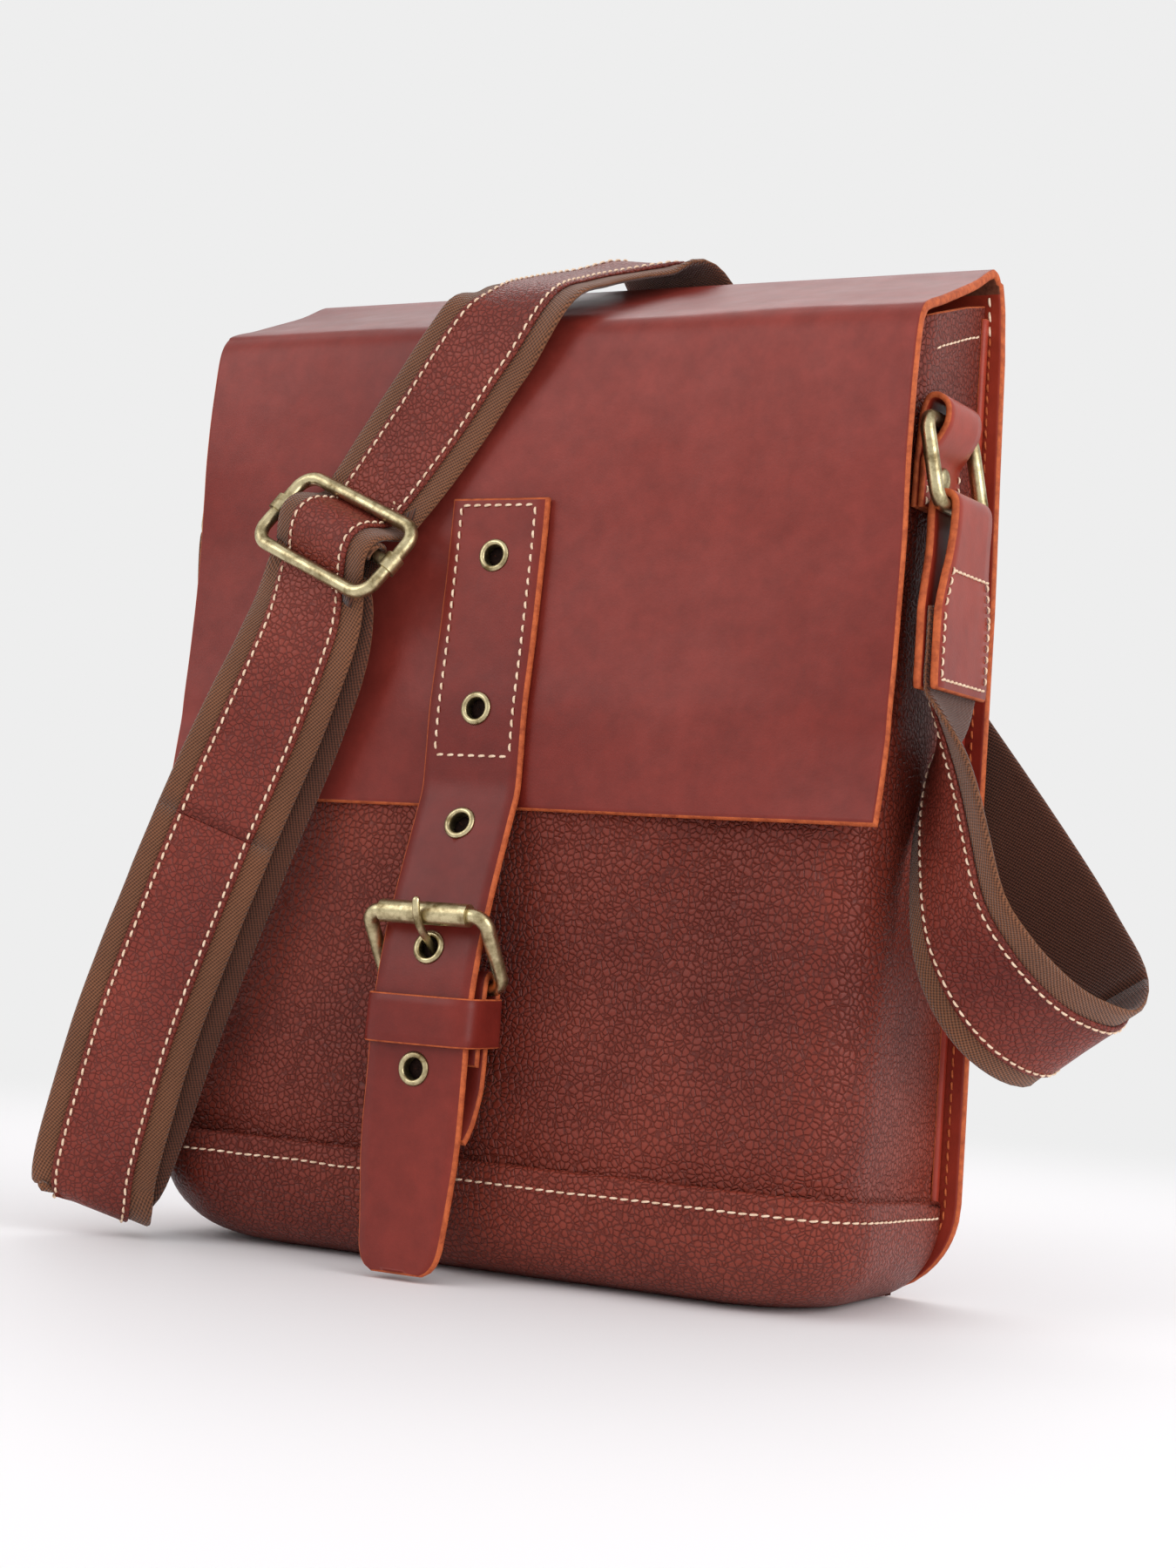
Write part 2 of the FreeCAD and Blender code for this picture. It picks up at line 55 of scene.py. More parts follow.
def catmull(points, steps):
    """A smooth line through the points, with steps parts between each pair."""
    points = [Vector(p) for p in points]
    last = len(points) - 1
    line = []
    for i in range(last):
        a, b = points[max(i - 1, 0)], points[i]
        c, d = points[i + 1], points[min(i + 2, last)]
        for k in range(steps):
            t = k / steps
            line.append((b * 2 + (c - a) * t + (a * 2 - b * 5 + c * 4 - d) * t ** 2
                         + (b * 3 - a - c * 3 + d) * t ** 3) / 2)
    return line + [points[-1]]


def table(value, pairs):
    """The value read from (place, value) pairs in rising order, joined by straight lines."""
    if value <= pairs[0][0]:
        return pairs[0][1]
    for (a, va), (b, vb) in zip(pairs, pairs[1:]):
        if value <= b:
            return va + (vb - va) * (value - a) / (b - a)
    return pairs[-1][1]


def ease(t):
    """A smooth step from 0 at t = 0 to 1 at t = 1."""
    t = min(max(t, 0.0), 1.0)
    return t * t * (3 - 2 * t)


def rough(point, size, seed=0.0):
    """Smooth noise from -1 to 1 whose bumps are about size mm across."""
    return noise.noise(Vector(point) / size + Vector((seed, seed * 1.7, 0)))


def spread(n, low, high):
    """n even places from low to high."""
    return [low + (high - low) * i / (n - 1) for i in range(n)]


def mesh_object(name, points, faces, materials, picks=None, uvs=None):
    """A smooth-shaded object from points in millimetres. picks are the faces' materials."""
    mesh = bpy.data.meshes.new(name)
    mesh.from_pydata([(p + BACK) / 1000 for p in points], [], faces)
    for m in materials:
        mesh.materials.append(m)
    if picks:
        mesh.polygons.foreach_set("material_index", picks)
    if uvs:
        layer = mesh.uv_layers.new(name="cloth")
        for loop in mesh.loops:
            layer.data[loop.index].uv = uvs[loop.vertex_index]
    mesh.polygons.foreach_set("use_smooth", [True] * len(mesh.polygons))
    mesh.update()
    thing = bpy.data.objects.new(name, mesh)
    bpy.context.scene.collection.objects.link(thing)
    return thing


def bordered(grid, inset, ends=True):
    """The grid with one more column close to each side, and one more row close to each end."""
    def widen(line):
        first = line[0] + (line[1] - line[0]).normalized() * inset
        last = line[-1] + (line[-2] - line[-1]).normalized() * inset
        return [line[0], first] + line[1:-1] + [last, line[-1]]
    rows = [widen(row) for row in grid]
    if not ends:
        return rows
    columns = [widen([row[j] for row in rows]) for j in range(len(rows[0]))]
    return [[column[i] for column in columns] for i in range(len(columns[0]))]


def normals(grid):
    """The direction out of the sheet at each point of the grid."""
    n, m = len(grid), len(grid[0])
    out = []
    for i in range(n):
        line = []
        for j in range(m):
            across = grid[i][min(j + 1, m - 1)] - grid[i][max(j - 1, 0)]
            down = grid[min(i + 1, n - 1)][j] - grid[max(i - 1, 0)][j]
            line.append(across.cross(down).normalized())
        out.append(line)
    return out


def slab(name, grid, thick, materials, soft=0.26, flip=False, raise_by=0.0, ends=True):
    """A sheet of leather or cloth, thick mm, whose middle lies on the grid of points.

    materials are the face, the cut edge and the inner side. soft is the share of the
    thickness by which the edges are rounded."""
    round_by = thick * soft
    grid = bordered(grid, round_by, ends)
    outs = normals(grid)
    sign = -1 if flip else 1
    n, m = len(grid), len(grid[0])
    points, uvs = [], []
    for side in (1, -1):
        for i in range(n):
            for j in range(m):
                edge = (ends and i in (0, n - 1)) or j in (0, m - 1)
                half = thick / 2 - (round_by if edge else 0)
                points.append(grid[i][j] + outs[i][j] * sign * (side * half + raise_by))
                uvs.append((i, j))
    along = [0.0]
    for i in range(1, n):
        along.append(along[-1] + (grid[i][m // 2] - grid[i - 1][m // 2]).length)
    across = [[0.0] for _ in range(n)]
    for i in range(n):
        for j in range(1, m):
            across[i].append(across[i][-1] + (grid[i][j] - grid[i][j - 1]).length)
    uvs = [(across[i][j] / 1000, along[i] / 1000) for i, j in uvs]
    faces, picks = [], []
    inner = min(len(materials) - 1, 2)
    raw = materials[1:2] == [RAW_EDGE]
    for i in range(n - 1):
        for j in range(m - 1):
            a, b, c, d = i * m + j, i * m + j + 1, (i + 1) * m + j + 1, (i + 1) * m + j
            faces.append((a, d, c, b) if not flip else (a, b, c, d))
            worn = raw and (j in (0, m - 2) or (ends and i in (0, n - 2)))
            picks.append(1 if worn else 0)
            a, b, c, d = (k + n * m for k in (a, b, c, d))
            faces.append((a, b, c, d) if not flip else (a, d, c, b))
            picks.append(1 if worn else 2 if inner == 2 else 0)
    rim = [j for j in range(m)] + [i * m + m - 1 for i in range(1, n)]
    rim += [(n - 1) * m + j for j in range(m - 2, -1, -1)] + [i * m for i in range(n - 2, 0, -1)]
    for a, b in zip(rim, rim[1:] + rim[:1]):
        faces.append((a, b, b + n * m, a + n * m) if not flip else (a, a + n * m, b + n * m, b))
        picks.append(min(1, inner))
    return mesh_object(name, points, faces, materials, picks, uvs)


def lathe(name, profile, centre, axis, materials, turns=28):
    """A ring turned about an axis from (radius, height) points."""
    axis = Vector(axis).normalized()
    first = axis.orthogonal().normalized()
    second = axis.cross(first)
    points, faces = [], []
    n = len(profile)
    for k in range(turns):
        a = 2 * math.pi * k / turns
        ray = first * math.cos(a) + second * math.sin(a)
        points += [Vector(centre) + ray * r + axis * h for r, h in profile]
    for k in range(turns):
        for i in range(n):
            a, b = k * n + i, k * n + (i + 1) % n
            c, d = (k + 1) % turns * n + (i + 1) % n, (k + 1) % turns * n + i
            faces.append((a, d, c, b))
    return mesh_object(name, points, faces, materials)


def resample(line, outs, gap):
    """(point, along, out) every gap mm of a line."""
    found, run, target = [], 0.0, gap / 2
    for (a, b), (oa, ob) in zip(zip(line, line[1:]), zip(outs, outs[1:])):
        length = (b - a).length
        while length > 1e-9 and run + length >= target:
            t = (target - run) / length
            found.append((a.lerp(b, t), (b - a).normalized(), oa.lerp(ob, t).normalized()))
            target += gap
        run += length
    return found


def stitches(name, runs, material, gap=3.3, length=2.5, width=0.75, tilt=0.10, lift=0.12):
    """Thread stitches along runs of (line, outward directions)."""
    points, faces = [], []
    sections = ((-0.5, 0.25, -0.55), (-0.40, 0.75, -0.05), (-0.18, 1.0, 0.22), (0.18, 1.0, 0.22),
                (0.40, 0.75, -0.05), (0.5, 0.25, -0.55))
    for line, outs in runs:
        for middle, along, out in resample(line, outs, gap):
            side = out.cross(along).normalized()
            turn = tilt + random.uniform(-0.05, 0.05)
            forward = along * math.cos(turn) + side * math.sin(turn)
            side = out.cross(forward).normalized()
            size = length * random.uniform(0.93, 1.05)
            start = len(points)
            for place, fat, rise in sections:
                heart = middle + forward * (place * size) + out * (lift + rise * width)
                for k in range(6):
                    a = math.pi * k / 3
                    points.append(heart + side * (math.cos(a) * fat * width / 2)
                                  + out * (math.sin(a) * fat * width * 0.42))
            for i in range(len(sections) - 1):
                for k in range(6):
                    a, b = start + i * 6 + k, start + i * 6 + (k + 1) % 6
                    faces.append((a, b, b + 6, a + 6))
            faces.append(tuple(start + k for k in range(5, -1, -1)))
            faces.append(tuple(start + (len(sections) - 1) * 6 + k for k in range(6)))
    return mesh_object(name, points, faces, [material])


# ---------- materials

def linear(r, g, b):
    """A colour for a shader from the 0 to 255 values of the shade it should look like."""
    return tuple(((c / 255 + 0.055) / 1.055) ** 2.4 for c in (r, g, b)) + (1.0,)


def material(name, **sockets):
    made = bpy.data.materials.new(name)
    made.use_nodes = True
    shader = made.node_tree.nodes["Principled BSDF"]
    for socket, value in sockets.items():
        shader.inputs[socket.replace("_", " ")].default_value = value
    return made, made.node_tree, shader


def add(tree, kind, **settings):
    node = tree.nodes.new("ShaderNode" + kind)
    for key, value in settings.items():
        if hasattr(node, key):
            setattr(node, key, value)
        else:
            node.inputs[key.replace("_", " ")].default_value = value
    return node


def noise_node(tree, coords, scale, detail=3.0, rough_by=0.55):
    node = add(tree, "TexNoise", Scale=scale, Detail=detail, Roughness=rough_by)
    tree.links.new(coords, node.inputs["Vector"])
    return node.outputs["Fac"]


def ramp(tree, fac, stops):
    node = add(tree, "ValToRGB")
    while len(node.color_ramp.elements) < len(stops):
        node.color_ramp.elements.new(0.5)
    for element, (place, colour) in zip(node.color_ramp.elements, stops):
        element.position = place
        element.color = colour
    tree.links.new(fac, node.inputs["Fac"])
    return node.outputs["Color"]


def mixed(tree, fac, a, b, way="MIX"):
    node = add(tree, "Mix", data_type="RGBA", blend_type=way)
    for socket, value in ((node.inputs[0], fac), (node.inputs[6], a), (node.inputs[7], b)):
        if isinstance(value, (float, int, tuple)):
            socket.default_value = value
        else:
            tree.links.new(value, socket)
    return node.outputs[2]


def sums(tree, way, a, b=0.0):
    node = add(tree, "Math", operation=way)
    for socket, value in zip(node.inputs, (a, b)):
        if isinstance(value, (float, int)):
            socket.default_value = value
        else:
            tree.links.new(value, socket)
    return node.outputs[0]


def bump(tree, shader, height, distance, strength=1.0, below=None):
    node = add(tree, "Bump", Strength=strength, Distance=distance)
    tree.links.new(height, node.inputs["Height"])
    if below is not None:
        tree.links.new(below, node.inputs["Normal"])
    tree.links.new(node.outputs["Normal"], shader.inputs["Normal"])
    return node.outputs["Normal"]


def smooth_leather(name, pale, deep, gloss=0.36):
    made, tree, shader = material(name, Specular_IOR_Level=0.26, Coat_Weight=0.04, Coat_Roughness=0.30)
    place = add(tree, "TexCoord").outputs["Object"]
    cloud = noise_node(tree, place, 9.0, 4.0, 0.5)
    speck = noise_node(tree, place, 130.0, 4.0, 0.65)
    colour = ramp(tree, cloud, [(0.36, deep), (0.62, pale)])
    shade = ramp(tree, speck, [(0.30, (0.82, 0.78, 0.76, 1)), (0.70, (1.08, 1.06, 1.05, 1))])
    tree.links.new(mixed(tree, 1.0, colour, shade, "MULTIPLY"), shader.inputs["Base Color"])
    dull = sums(tree, "MULTIPLY_ADD", noise_node(tree, place, 60.0), 0.18)
    tree.nodes[-1].inputs[2].default_value = gloss - 0.09
    tree.links.new(dull, shader.inputs["Roughness"])
    pores = noise_node(tree, place, 1500.0, 3.0, 0.6)
    low = bump(tree, shader, pores, 0.00008, 0.6)
    bump(tree, shader, noise_node(tree, place, 45.0, 2.0), 0.0012, 0.35, low)
    return made


def pebbled_leather(name, pale, deep, cell=620.0, depth=0.00045, gloss=0.42):
    made, tree, shader = material(name, Specular_IOR_Level=0.24, Coat_Weight=0.03, Coat_Roughness=0.35)
    place = add(tree, "TexCoord").outputs["Object"]
    cloud = noise_node(tree, place, 14.0, 4.0, 0.55)
    bend = add(tree, "VectorMath", operation="ADD")
    wave = add(tree, "TexNoise", Scale=260.0, Detail=2.0)
    small = add(tree, "VectorMath", operation="SCALE", Scale=0.0016)
    tree.links.new(place, wave.inputs["Vector"])
    tree.links.new(wave.outputs["Color"], small.inputs[0])
    tree.links.new(place, bend.inputs[0])
    tree.links.new(small.outputs[0], bend.inputs[1])
    cells = add(tree, "TexVoronoi", feature="DISTANCE_TO_EDGE", Scale=cell)
    tree.links.new(bend.outputs[0], cells.inputs["Vector"])
    domes = ramp(tree, cells.outputs["Distance"], [(0.0, (0, 0, 0, 1)),
                                                    (0.16, (0.75, 0.75, 0.75, 1)),
                                                    (0.5, (1, 1, 1, 1))])
    colour = ramp(tree, cloud, [(0.34, deep), (0.66, pale)])
    shade = ramp(tree, cells.outputs["Distance"], [(0.0, (0.50, 0.44, 0.42, 1)),
                                                    (0.16, (1.06, 1.06, 1.06, 1))])
    tree.links.new(mixed(tree, 0.8, colour, shade, "MULTIPLY"), shader.inputs["Base Color"])
    shader.inputs["Roughness"].default_value = gloss
    low = bump(tree, shader, domes, depth, 0.75)
    bump(tree, shader, noise_node(tree, place, 70.0, 3.0), 0.0016, 0.35, low)
    return made


def cut_edge(name, pale, deep):
    made, tree, shader = material(name, Roughness=0.7, Specular_IOR_Level=0.25)
    place = add(tree, "TexCoord").outputs["Object"]
    colour = ramp(tree, noise_node(tree, place, 320.0, 4.0, 0.7), [(0.32, deep), (0.62, pale)])
    tree.links.new(colour, shader.inputs["Base Color"])
    bump(tree, shader, noise_node(tree, place, 1400.0, 3.0), 0.0002, 0.6)
    return made


def woven(name, pale, deep, pitch):
    """Webbing: a twill of yarns pitch metres apart, read from the strip's own width and length."""
    made, tree, shader = material(name, Roughness=0.85, Specular_IOR_Level=0.18, Sheen_Weight=0.25,
                                  Sheen_Roughness=0.5)
    grid = add(tree, "UVMap", uv_map="cloth")
    split = add(tree, "SeparateXYZ")
    tree.links.new(grid.outputs[0], split.inputs[0])
    turn = 2 * math.pi / pitch
    u = sums(tree, "MULTIPLY", split.outputs[0], turn)
    v = sums(tree, "MULTIPLY", split.outputs[1], turn)
    one = sums(tree, "SINE", sums(tree, "ADD", u, sums(tree, "MULTIPLY", v, 0.55)))
    steep = sums(tree, "SUBTRACT", sums(tree, "MULTIPLY", v, 1.3), sums(tree, "MULTIPLY", u, 0.5))
    two = sums(tree, "SINE", steep)
    yarn = sums(tree, "MULTIPLY_ADD", sums(tree, "ADD", one, sums(tree, "MULTIPLY", two, 0.7)), 0.28)
    tree.nodes[-1].inputs[2].default_value = 0.5
    place = add(tree, "TexCoord").outputs["Object"]
    fuzz = noise_node(tree, place, 900.0, 4.0, 0.7)
    height = sums(tree, "ADD", yarn, sums(tree, "MULTIPLY", fuzz, 0.35))
    colour = ramp(tree, height, [(0.25, deep), (1.05, pale)])
    cloud = ramp(tree, noise_node(tree, place, 30.0, 3.0), [(0.3, (0.85, 0.85, 0.85, 1)),
                                                            (0.7, (1.12, 1.1, 1.08, 1))])
    tree.links.new(mixed(tree, 1.0, colour, cloud, "MULTIPLY"), shader.inputs["Base Color"])
    bump(tree, shader, height, 0.0004, 0.9)
    return made


def plain_cloth(name, colour, deep):
    made, tree, shader = material(name, Roughness=0.9, Specular_IOR_Level=0.15)
    place = add(tree, "TexCoord").outputs["Object"]
    tree.links.new(ramp(tree, noise_node(tree, place, 700.0, 3.0), [(0.3, deep), (0.7, colour)]),
                   shader.inputs["Base Color"])
    bump(tree, shader, noise_node(tree, place, 1600.0, 2.0), 0.0002, 0.6)
    return made


def aged_brass(name, pale, deep):
    made, tree, shader = material(name, Metallic=1.0)
    place = add(tree, "TexCoord").outputs["Object"]
    wear = noise_node(tree, place, 170.0, 5.0, 0.65)
    tree.links.new(ramp(tree, wear, [(0.34, deep), (0.58, pale)]), shader.inputs["Base Color"])
    tree.links.new(ramp(tree, wear, [(0.34, (0.5, 0.5, 0.5, 1)), (0.62, (0.26, 0.26, 0.26, 1))]),
                   shader.inputs["Roughness"])
    bump(tree, shader, noise_node(tree, place, 800.0, 3.0), 0.00006, 0.5)
    return made


FLAP_FACE = smooth_leather("flap_leather", linear(134, 52, 44), linear(116, 36, 28), 0.40)
STRAP_FACE = smooth_leather("strap_leather", linear(128, 44, 34), linear(108, 32, 25), 0.40)
TAB_FACE = smooth_leather("tab_leather", linear(160, 58, 40), linear(128, 38, 27), 0.36)
FLESH = cut_edge("leather_flesh_side", linear(120, 66, 46), linear(88, 44, 30))
RAW_EDGE = cut_edge("leather_cut_edge", linear(196, 98, 54), linear(150, 66, 36))
PEBBLED = pebbled_leather("pebbled_leather", linear(130, 54, 40), linear(102, 36, 25), 520.0, 0.0007)
FACING = pebbled_leather("strap_facing_leather", linear(136, 58, 45), linear(108, 40, 31), 560.0, 0.0005)
WEBBING = woven("webbing_weave", linear(140, 90, 62), linear(66, 38, 24), 0.00105)
# The webbing's inner side is the same weave painted darker: painted shade for where it lies against the bag
WEBBING_SHADED_SIDE = woven("webbing_inner_side_painted_shade", linear(104, 60, 42), linear(50, 27, 18), 0.00105)
SELVEDGE = plain_cloth("webbing_selvedge", linear(138, 92, 66), linear(86, 54, 36))
LINING = plain_cloth("lining_cloth", linear(78, 58, 46), linear(56, 40, 32))
THREAD = plain_cloth("pale_thread", linear(250, 224, 198), linear(214, 180, 150))
DARK_THREAD = plain_cloth("orange_thread", linear(196, 104, 62), linear(150, 70, 40))
BRASS = aged_brass("antique_brass", linear(206, 192, 152), linear(116, 98, 64))
# Painted shade: a near-black colour standing in for the shadow deep inside each eyelet's hole
HOLE_SHADE = plain_cloth("painted_hole_shade", linear(40, 24, 20), linear(28, 16, 14))


# ---------- the bag's body

# The front's depth at each height, and the band's line under the base as (depth, height)
FRONT = [(0, -81.6), (38, -80.5), (60, -79.2), (95, -75.2), (135, -72.0), (165, -70.0), (190, -67.5),
         (225, -64.2), (262, -62.0), (294, -57.5)]
BASE_LINE = catmull([(-82.0, 34.5, 0), (-82.4, 26, 0), (-80.4, 15, 0), (-73, 5.5, 0), (-60, 1.4, 0)], 4)
GUSSET = 121.0            # from the middle to a side
FLANGE_FRONT = -4.4       # where the sides meet the back panel
BAND_ROUND = 27.0         # lower side corners of the band
SHARES = ((0.0, 0.20), (0.20, 0.34), (0.34, 0.66), (0.66, 0.80), (0.80, 1.0))


def around(s, half, front, corner):
    """A point on the body's outline seen from above: side, corner, front, corner, side."""
    for k, (a, b) in enumerate(SHARES):
        if s <= b:
            break
    t = (s - a) / (b - a)
    side = 1 if k < 2 else -1
    if k in (1, 3):
        angle = t * math.pi / 2 if k == 1 else (1 - t) * math.pi / 2
        return Vector((side * (half - corner + corner * math.cos(angle)),
                       front + corner - corner * math.sin(angle), 0))
    if k == 2:
        return Vector(((half - corner) * (1 - 2 * t), front, 0))
    reach = FLANGE_FRONT + (front + corner - FLANGE_FRONT) * (t if k == 0 else 1 - t)
    return Vector((side * half, reach, 0))


def corner_size(z):
    """Radius of the body's front corners, seen from above."""
    return table(z, [(0, 26), (60, 23), (150, 17), (294, 12)])


def top_height(y):
    return table(y, [(-57, 294.0), (-50, 296.5), (-21, 304.0), (-4.4, 307.5)])


def seam_height(y):
    return 35.0 - 4.5 * (y + 82) / 78


def sag(point, s):
    """How far the soft leather stands out of the plain shape."""
    x, y, z = point
    front = ease((s - 0.26) / 0.14) * ease((0.74 - s) / 0.14)
    out = 0.9 * rough((x, y, z * 0.8), 46.0) + 0.35 * rough((x, y, z), 17.0, 3.0)
    out += front * 1.6 * math.cos(min(abs(x) / 105, 1) * math.pi / 2)
    valley = math.exp(-((x - 70 + (141 - z) * 0.10) / 11) ** 2) * ease((z - 70) / 50) * ease((175 - z) / 30)
    out -= front * 2.6 * valley
    corner = math.exp(-((s - 0.285) / 0.045) ** 2) + math.exp(-((s - 0.715) / 0.045) ** 2)
    out += 1.4 * corner * math.exp(-((z - 66) / 34) ** 2)
    crease = math.exp(-((z - 88 - (x - 100) * 0.5) / 4.0) ** 2) * math.exp(-((s - 0.28) / 0.05) ** 2)
    out -= 0.9 * crease
    pinch = math.exp(-((z - 36) / 4.5) ** 2)
    return out - 1.7 * pinch * (1 + 0.5 * rough((x, y, 0), 13.0, 9.0))


def heights(s):
    """The body's top, and its lower edge behind the band."""
    y = around(s, GUSSET, -62, 12).y
    return top_height(y), seam_height(y) - 1.5


def upper_point(s, v):
    """The body above the band: v from 0 at the top to 1 at its lower edge, and outward."""
    top, low = heights(s)
    z = top + (low - top) * v
    point = around(s, GUSSET - 0.6, table(z, FRONT) + 0.6, corner_size(z))
    point.z = z
    plain = GUSSET, table(z, FRONT), corner_size(z)
    near = around(s + 0.002, *plain) - around(s, *plain)
    out = Vector((near.y, -near.x, 0)).normalized() * -1
    if out.dot(Vector((point.x, point.y + 35, 0))) < 0:
        out = out * -1
    hold = ease((0.5 - abs(s - 0.5)) / 0.035)
    return point + out * sag(point, s) * hold, out


def quarter(z, radius):
    """How far the lower side corner of this radius has come out at height z."""
    return radius if z > radius else math.sqrt(max(radius ** 2 - (radius - z) ** 2, 0))


def band_half(z):
    return GUSSET - BAND_ROUND + quarter(z, BAND_ROUND)


def band_point(s, t):
    """The bottom band: t from 0 at the seam to 1 where it turns under, then to 2 at the back."""
    k = min(t, 1.0) * (len(BASE_LINE) - 1)
    i = min(int(k), len(BASE_LINE) - 2)
    line = BASE_LINE[i].lerp(BASE_LINE[i + 1], k - i)
    front, z = line.x, line.y
    point = around(s, band_half(z) + 0.5, front, 24 + 6 * min(t, 1))
    point.z = z + (seam_height(point.y) - BASE_LINE[0].y) * (1 - min(t, 1))
    wrinkle = 0.5 * rough((point.x, point.y, z * 2.5), 9.0, 5.0) * ease(t * 3) * ease((1.2 - t) * 4)
    wide = 0.8 * rough(point, 38.0, 4.0)
    dent = 0.9 * math.exp(-((s - 0.27) / 0.03) ** 2) * math.exp(-((z - 11) / 2.2) ** 2)
    point += Vector((point.x / 200, -1 if 0.3 < s < 0.7 else -0.4, 0)) * (wrinkle + wide - dent)
    if t > 1:
        u = t - 1
        rear = Vector((point.x * (1 + 0.06 * u), FLANGE_FRONT, 2.6))
        crown = 0.6 * math.sin(math.pi * u)
        point = point.lerp(rear, u) - Vector((0, 0, crown))
        point.z = max(point.z, 0.5)
    return point


fractions = []
for (a, b), n in zip(SHARES, (12, 12, 44, 12, 12)):
    fractions += [a + (b - a) * k / n for k in range(n)]
fractions.append(1.0)

upper = [[upper_point(s, v)[0] for s in fractions] for v in spread(72, 0, 1)]
body = slab("body_shell", upper, 1.9, [PEBBLED, RAW_EDGE, FLESH])
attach(body, "root")
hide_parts("front_panel", "left_gusset", "right_gusset", "gusset_hem_left", "gusset_hem_right")

lip = [[band_point(s, t) for s in fractions] for t in (spread(20, 0, 1) + spread(9, 1, 2)[1:])]
band = slab("bottom_band_leather", lip, 2.6, [PEBBLED, PEBBLED, FLESH], soft=0.42, raise_by=0.9)
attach(band, "root")
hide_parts("bottom_band")


def shell_line(s_values, height_of, lift):
    """A line at a height on the body, with its outward directions."""
    line, outs = [], []
    for s in s_values:
        top, low = heights(s)
        v = (height_of(around(s, GUSSET, -75, 20).y) - top) / (low - top)
        point, out = upper_point(s, v)
        line.append(point + out * lift)
        outs.append(out)
    return line, outs


BAND_STITCH = 0.185       # the stitch row's share of the way down the band
band_run, band_outs = [], []
for s in spread(150, 0.01, 0.99):
    here = band_point(s, BAND_STITCH)
    up = band_point(s, 0.16) - band_point(s, 0.21)
    step = band_point(min(s + 0.003, 1), BAND_STITCH) - band_point(max(s - 0.003, 0), BAND_STITCH)
    out = up.cross(step).normalized()
    if out.dot(Vector((here.x, here.y + 30, 0))) < 0:
        out = out * -1
    band_run.append(here + out * 2.3)
    band_outs.append(out)

HEM = 9.5                 # the hem's stitch row below the top
hem_runs = [shell_line(spread(14, a, b), lambda y: top_height(y) - HEM, 0.95)
            for a, b in ((0.02, 0.19), (0.81, 0.98))]
seam_thread = stitches("body_stitches", [(band_run, band_outs)] + hem_runs, THREAD,
                       gap=3.5, length=2.7, width=0.7)
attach(seam_thread, "root")


# ---------- back panel and flap in one piece

FLAP_HALF = 124.6
FLANGE_HALF = 129.0
FLANGE_ROUND = 30.0       # lower corners of the back panel
# From the back panel's lower edge up, over the top crease and down the flap, as (depth, height)
COVER_LINE = [(-2.0, 0.3), (-2.0, 14), (-2.0, 30), (-2.2, 80), (-2.2, 160), (-2.0, 240),
              (-1.9, 285), (-1.5, 303), (-1.0, 311.5), (-1.6, 315.2), (-4.4, 317.1), (-8.0, 316.4),
              (-20.0, 311.2), (-45.0, 301.4), (-57.0, 296.6), (-62.4, 293.2), (-65.0, 288.0),
              (-66.4, 276), (-67.3, 262), (-67.9, 238), (-68.6, 220), (-71.4, 190), (-73.6, 172),
              (-74.4, 155), (-74.9, 141.3)]
COVER = catmull([(0, y, z) for y, z in COVER_LINE], 5)


def cover_half(k):
    """Half the leather's width at the k-th point of its line."""
    y, z = COVER[k].y, COVER[k].z
    if k < 45 and y > -3:
        if z < FLANGE_ROUND:
            return FLANGE_HALF - FLANGE_ROUND + quarter(z, FLANGE_ROUND)
        return table(z, [(215, FLANGE_HALF), (250, 128.2), (290, 127.5), (306, 126.5), (315, 125.2)])
    return FLAP_HALF + 0.25 * rough((0, y, z), 30.0, 2.0)


def cover_point(c, k):
    """c runs from -1 at the left edge to 1 at the right edge."""
    middle = COVER[k]
    x = c * cover_half(k)
    y, z = middle.y, middle.z
    point = Vector((x, y, z))
    if y > -3.0 and z < 312:
        point.y += 0.35 * rough((x, 0, z), 70.0, 6.0) * ease((300 - z) / 30)
        return point
    side = abs(c) ** 3
    if z < 294 and y < -60:
        bend = table(z, [(141, -1.8), (150, -0.2), (167, 2.4), (205, 1.4), (250, -0.4), (295, 0.6)])
        point.y += side * bend
        point.y += 0.45 * rough((x, 0, z), 60.0, 8.0) * ease((292 - z) / 20) * (1 - 0.5 * side)
        point.y += 0.25 * math.exp(-((z - 141) / 6) ** 2) * rough((x, 0, 0), 24.0, 1.0)
        point.z += 0.35 * rough((x, 0, 50), 60.0, 2.0) * ease((170 - z) / 30)
    else:
        point.z += 0.5 * rough((x, y, 0), 55.0, 4.0) * ease((-4 - y) / 12)
        point.z -= 0.9 * side * ease((-4 - y) / 20) * ease((y + 66) / 20)
    return point


near_edge = [1 - 0.012 * k for k in range(2, -1, -1)]
columns = [-c for c in reversed(near_edge)] + spread(57, -0.96, 0.96) + near_edge
cover_grid = [[cover_point(c, k) for c in columns] for k in range(len(COVER))]
cover = slab("back_and_flap", cover_grid, 2.9, [FLAP_FACE, RAW_EDGE, FLESH, TAB_FACE], flip=True)
# The flange's front shows the leather's finished side
for face in cover.data.polygons:
    if face.material_index == 2 and face.center.y > 0.034 and face.center.z < 0.312:
        face.material_index = 3
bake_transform(cover)
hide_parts("back_panel", "flap")


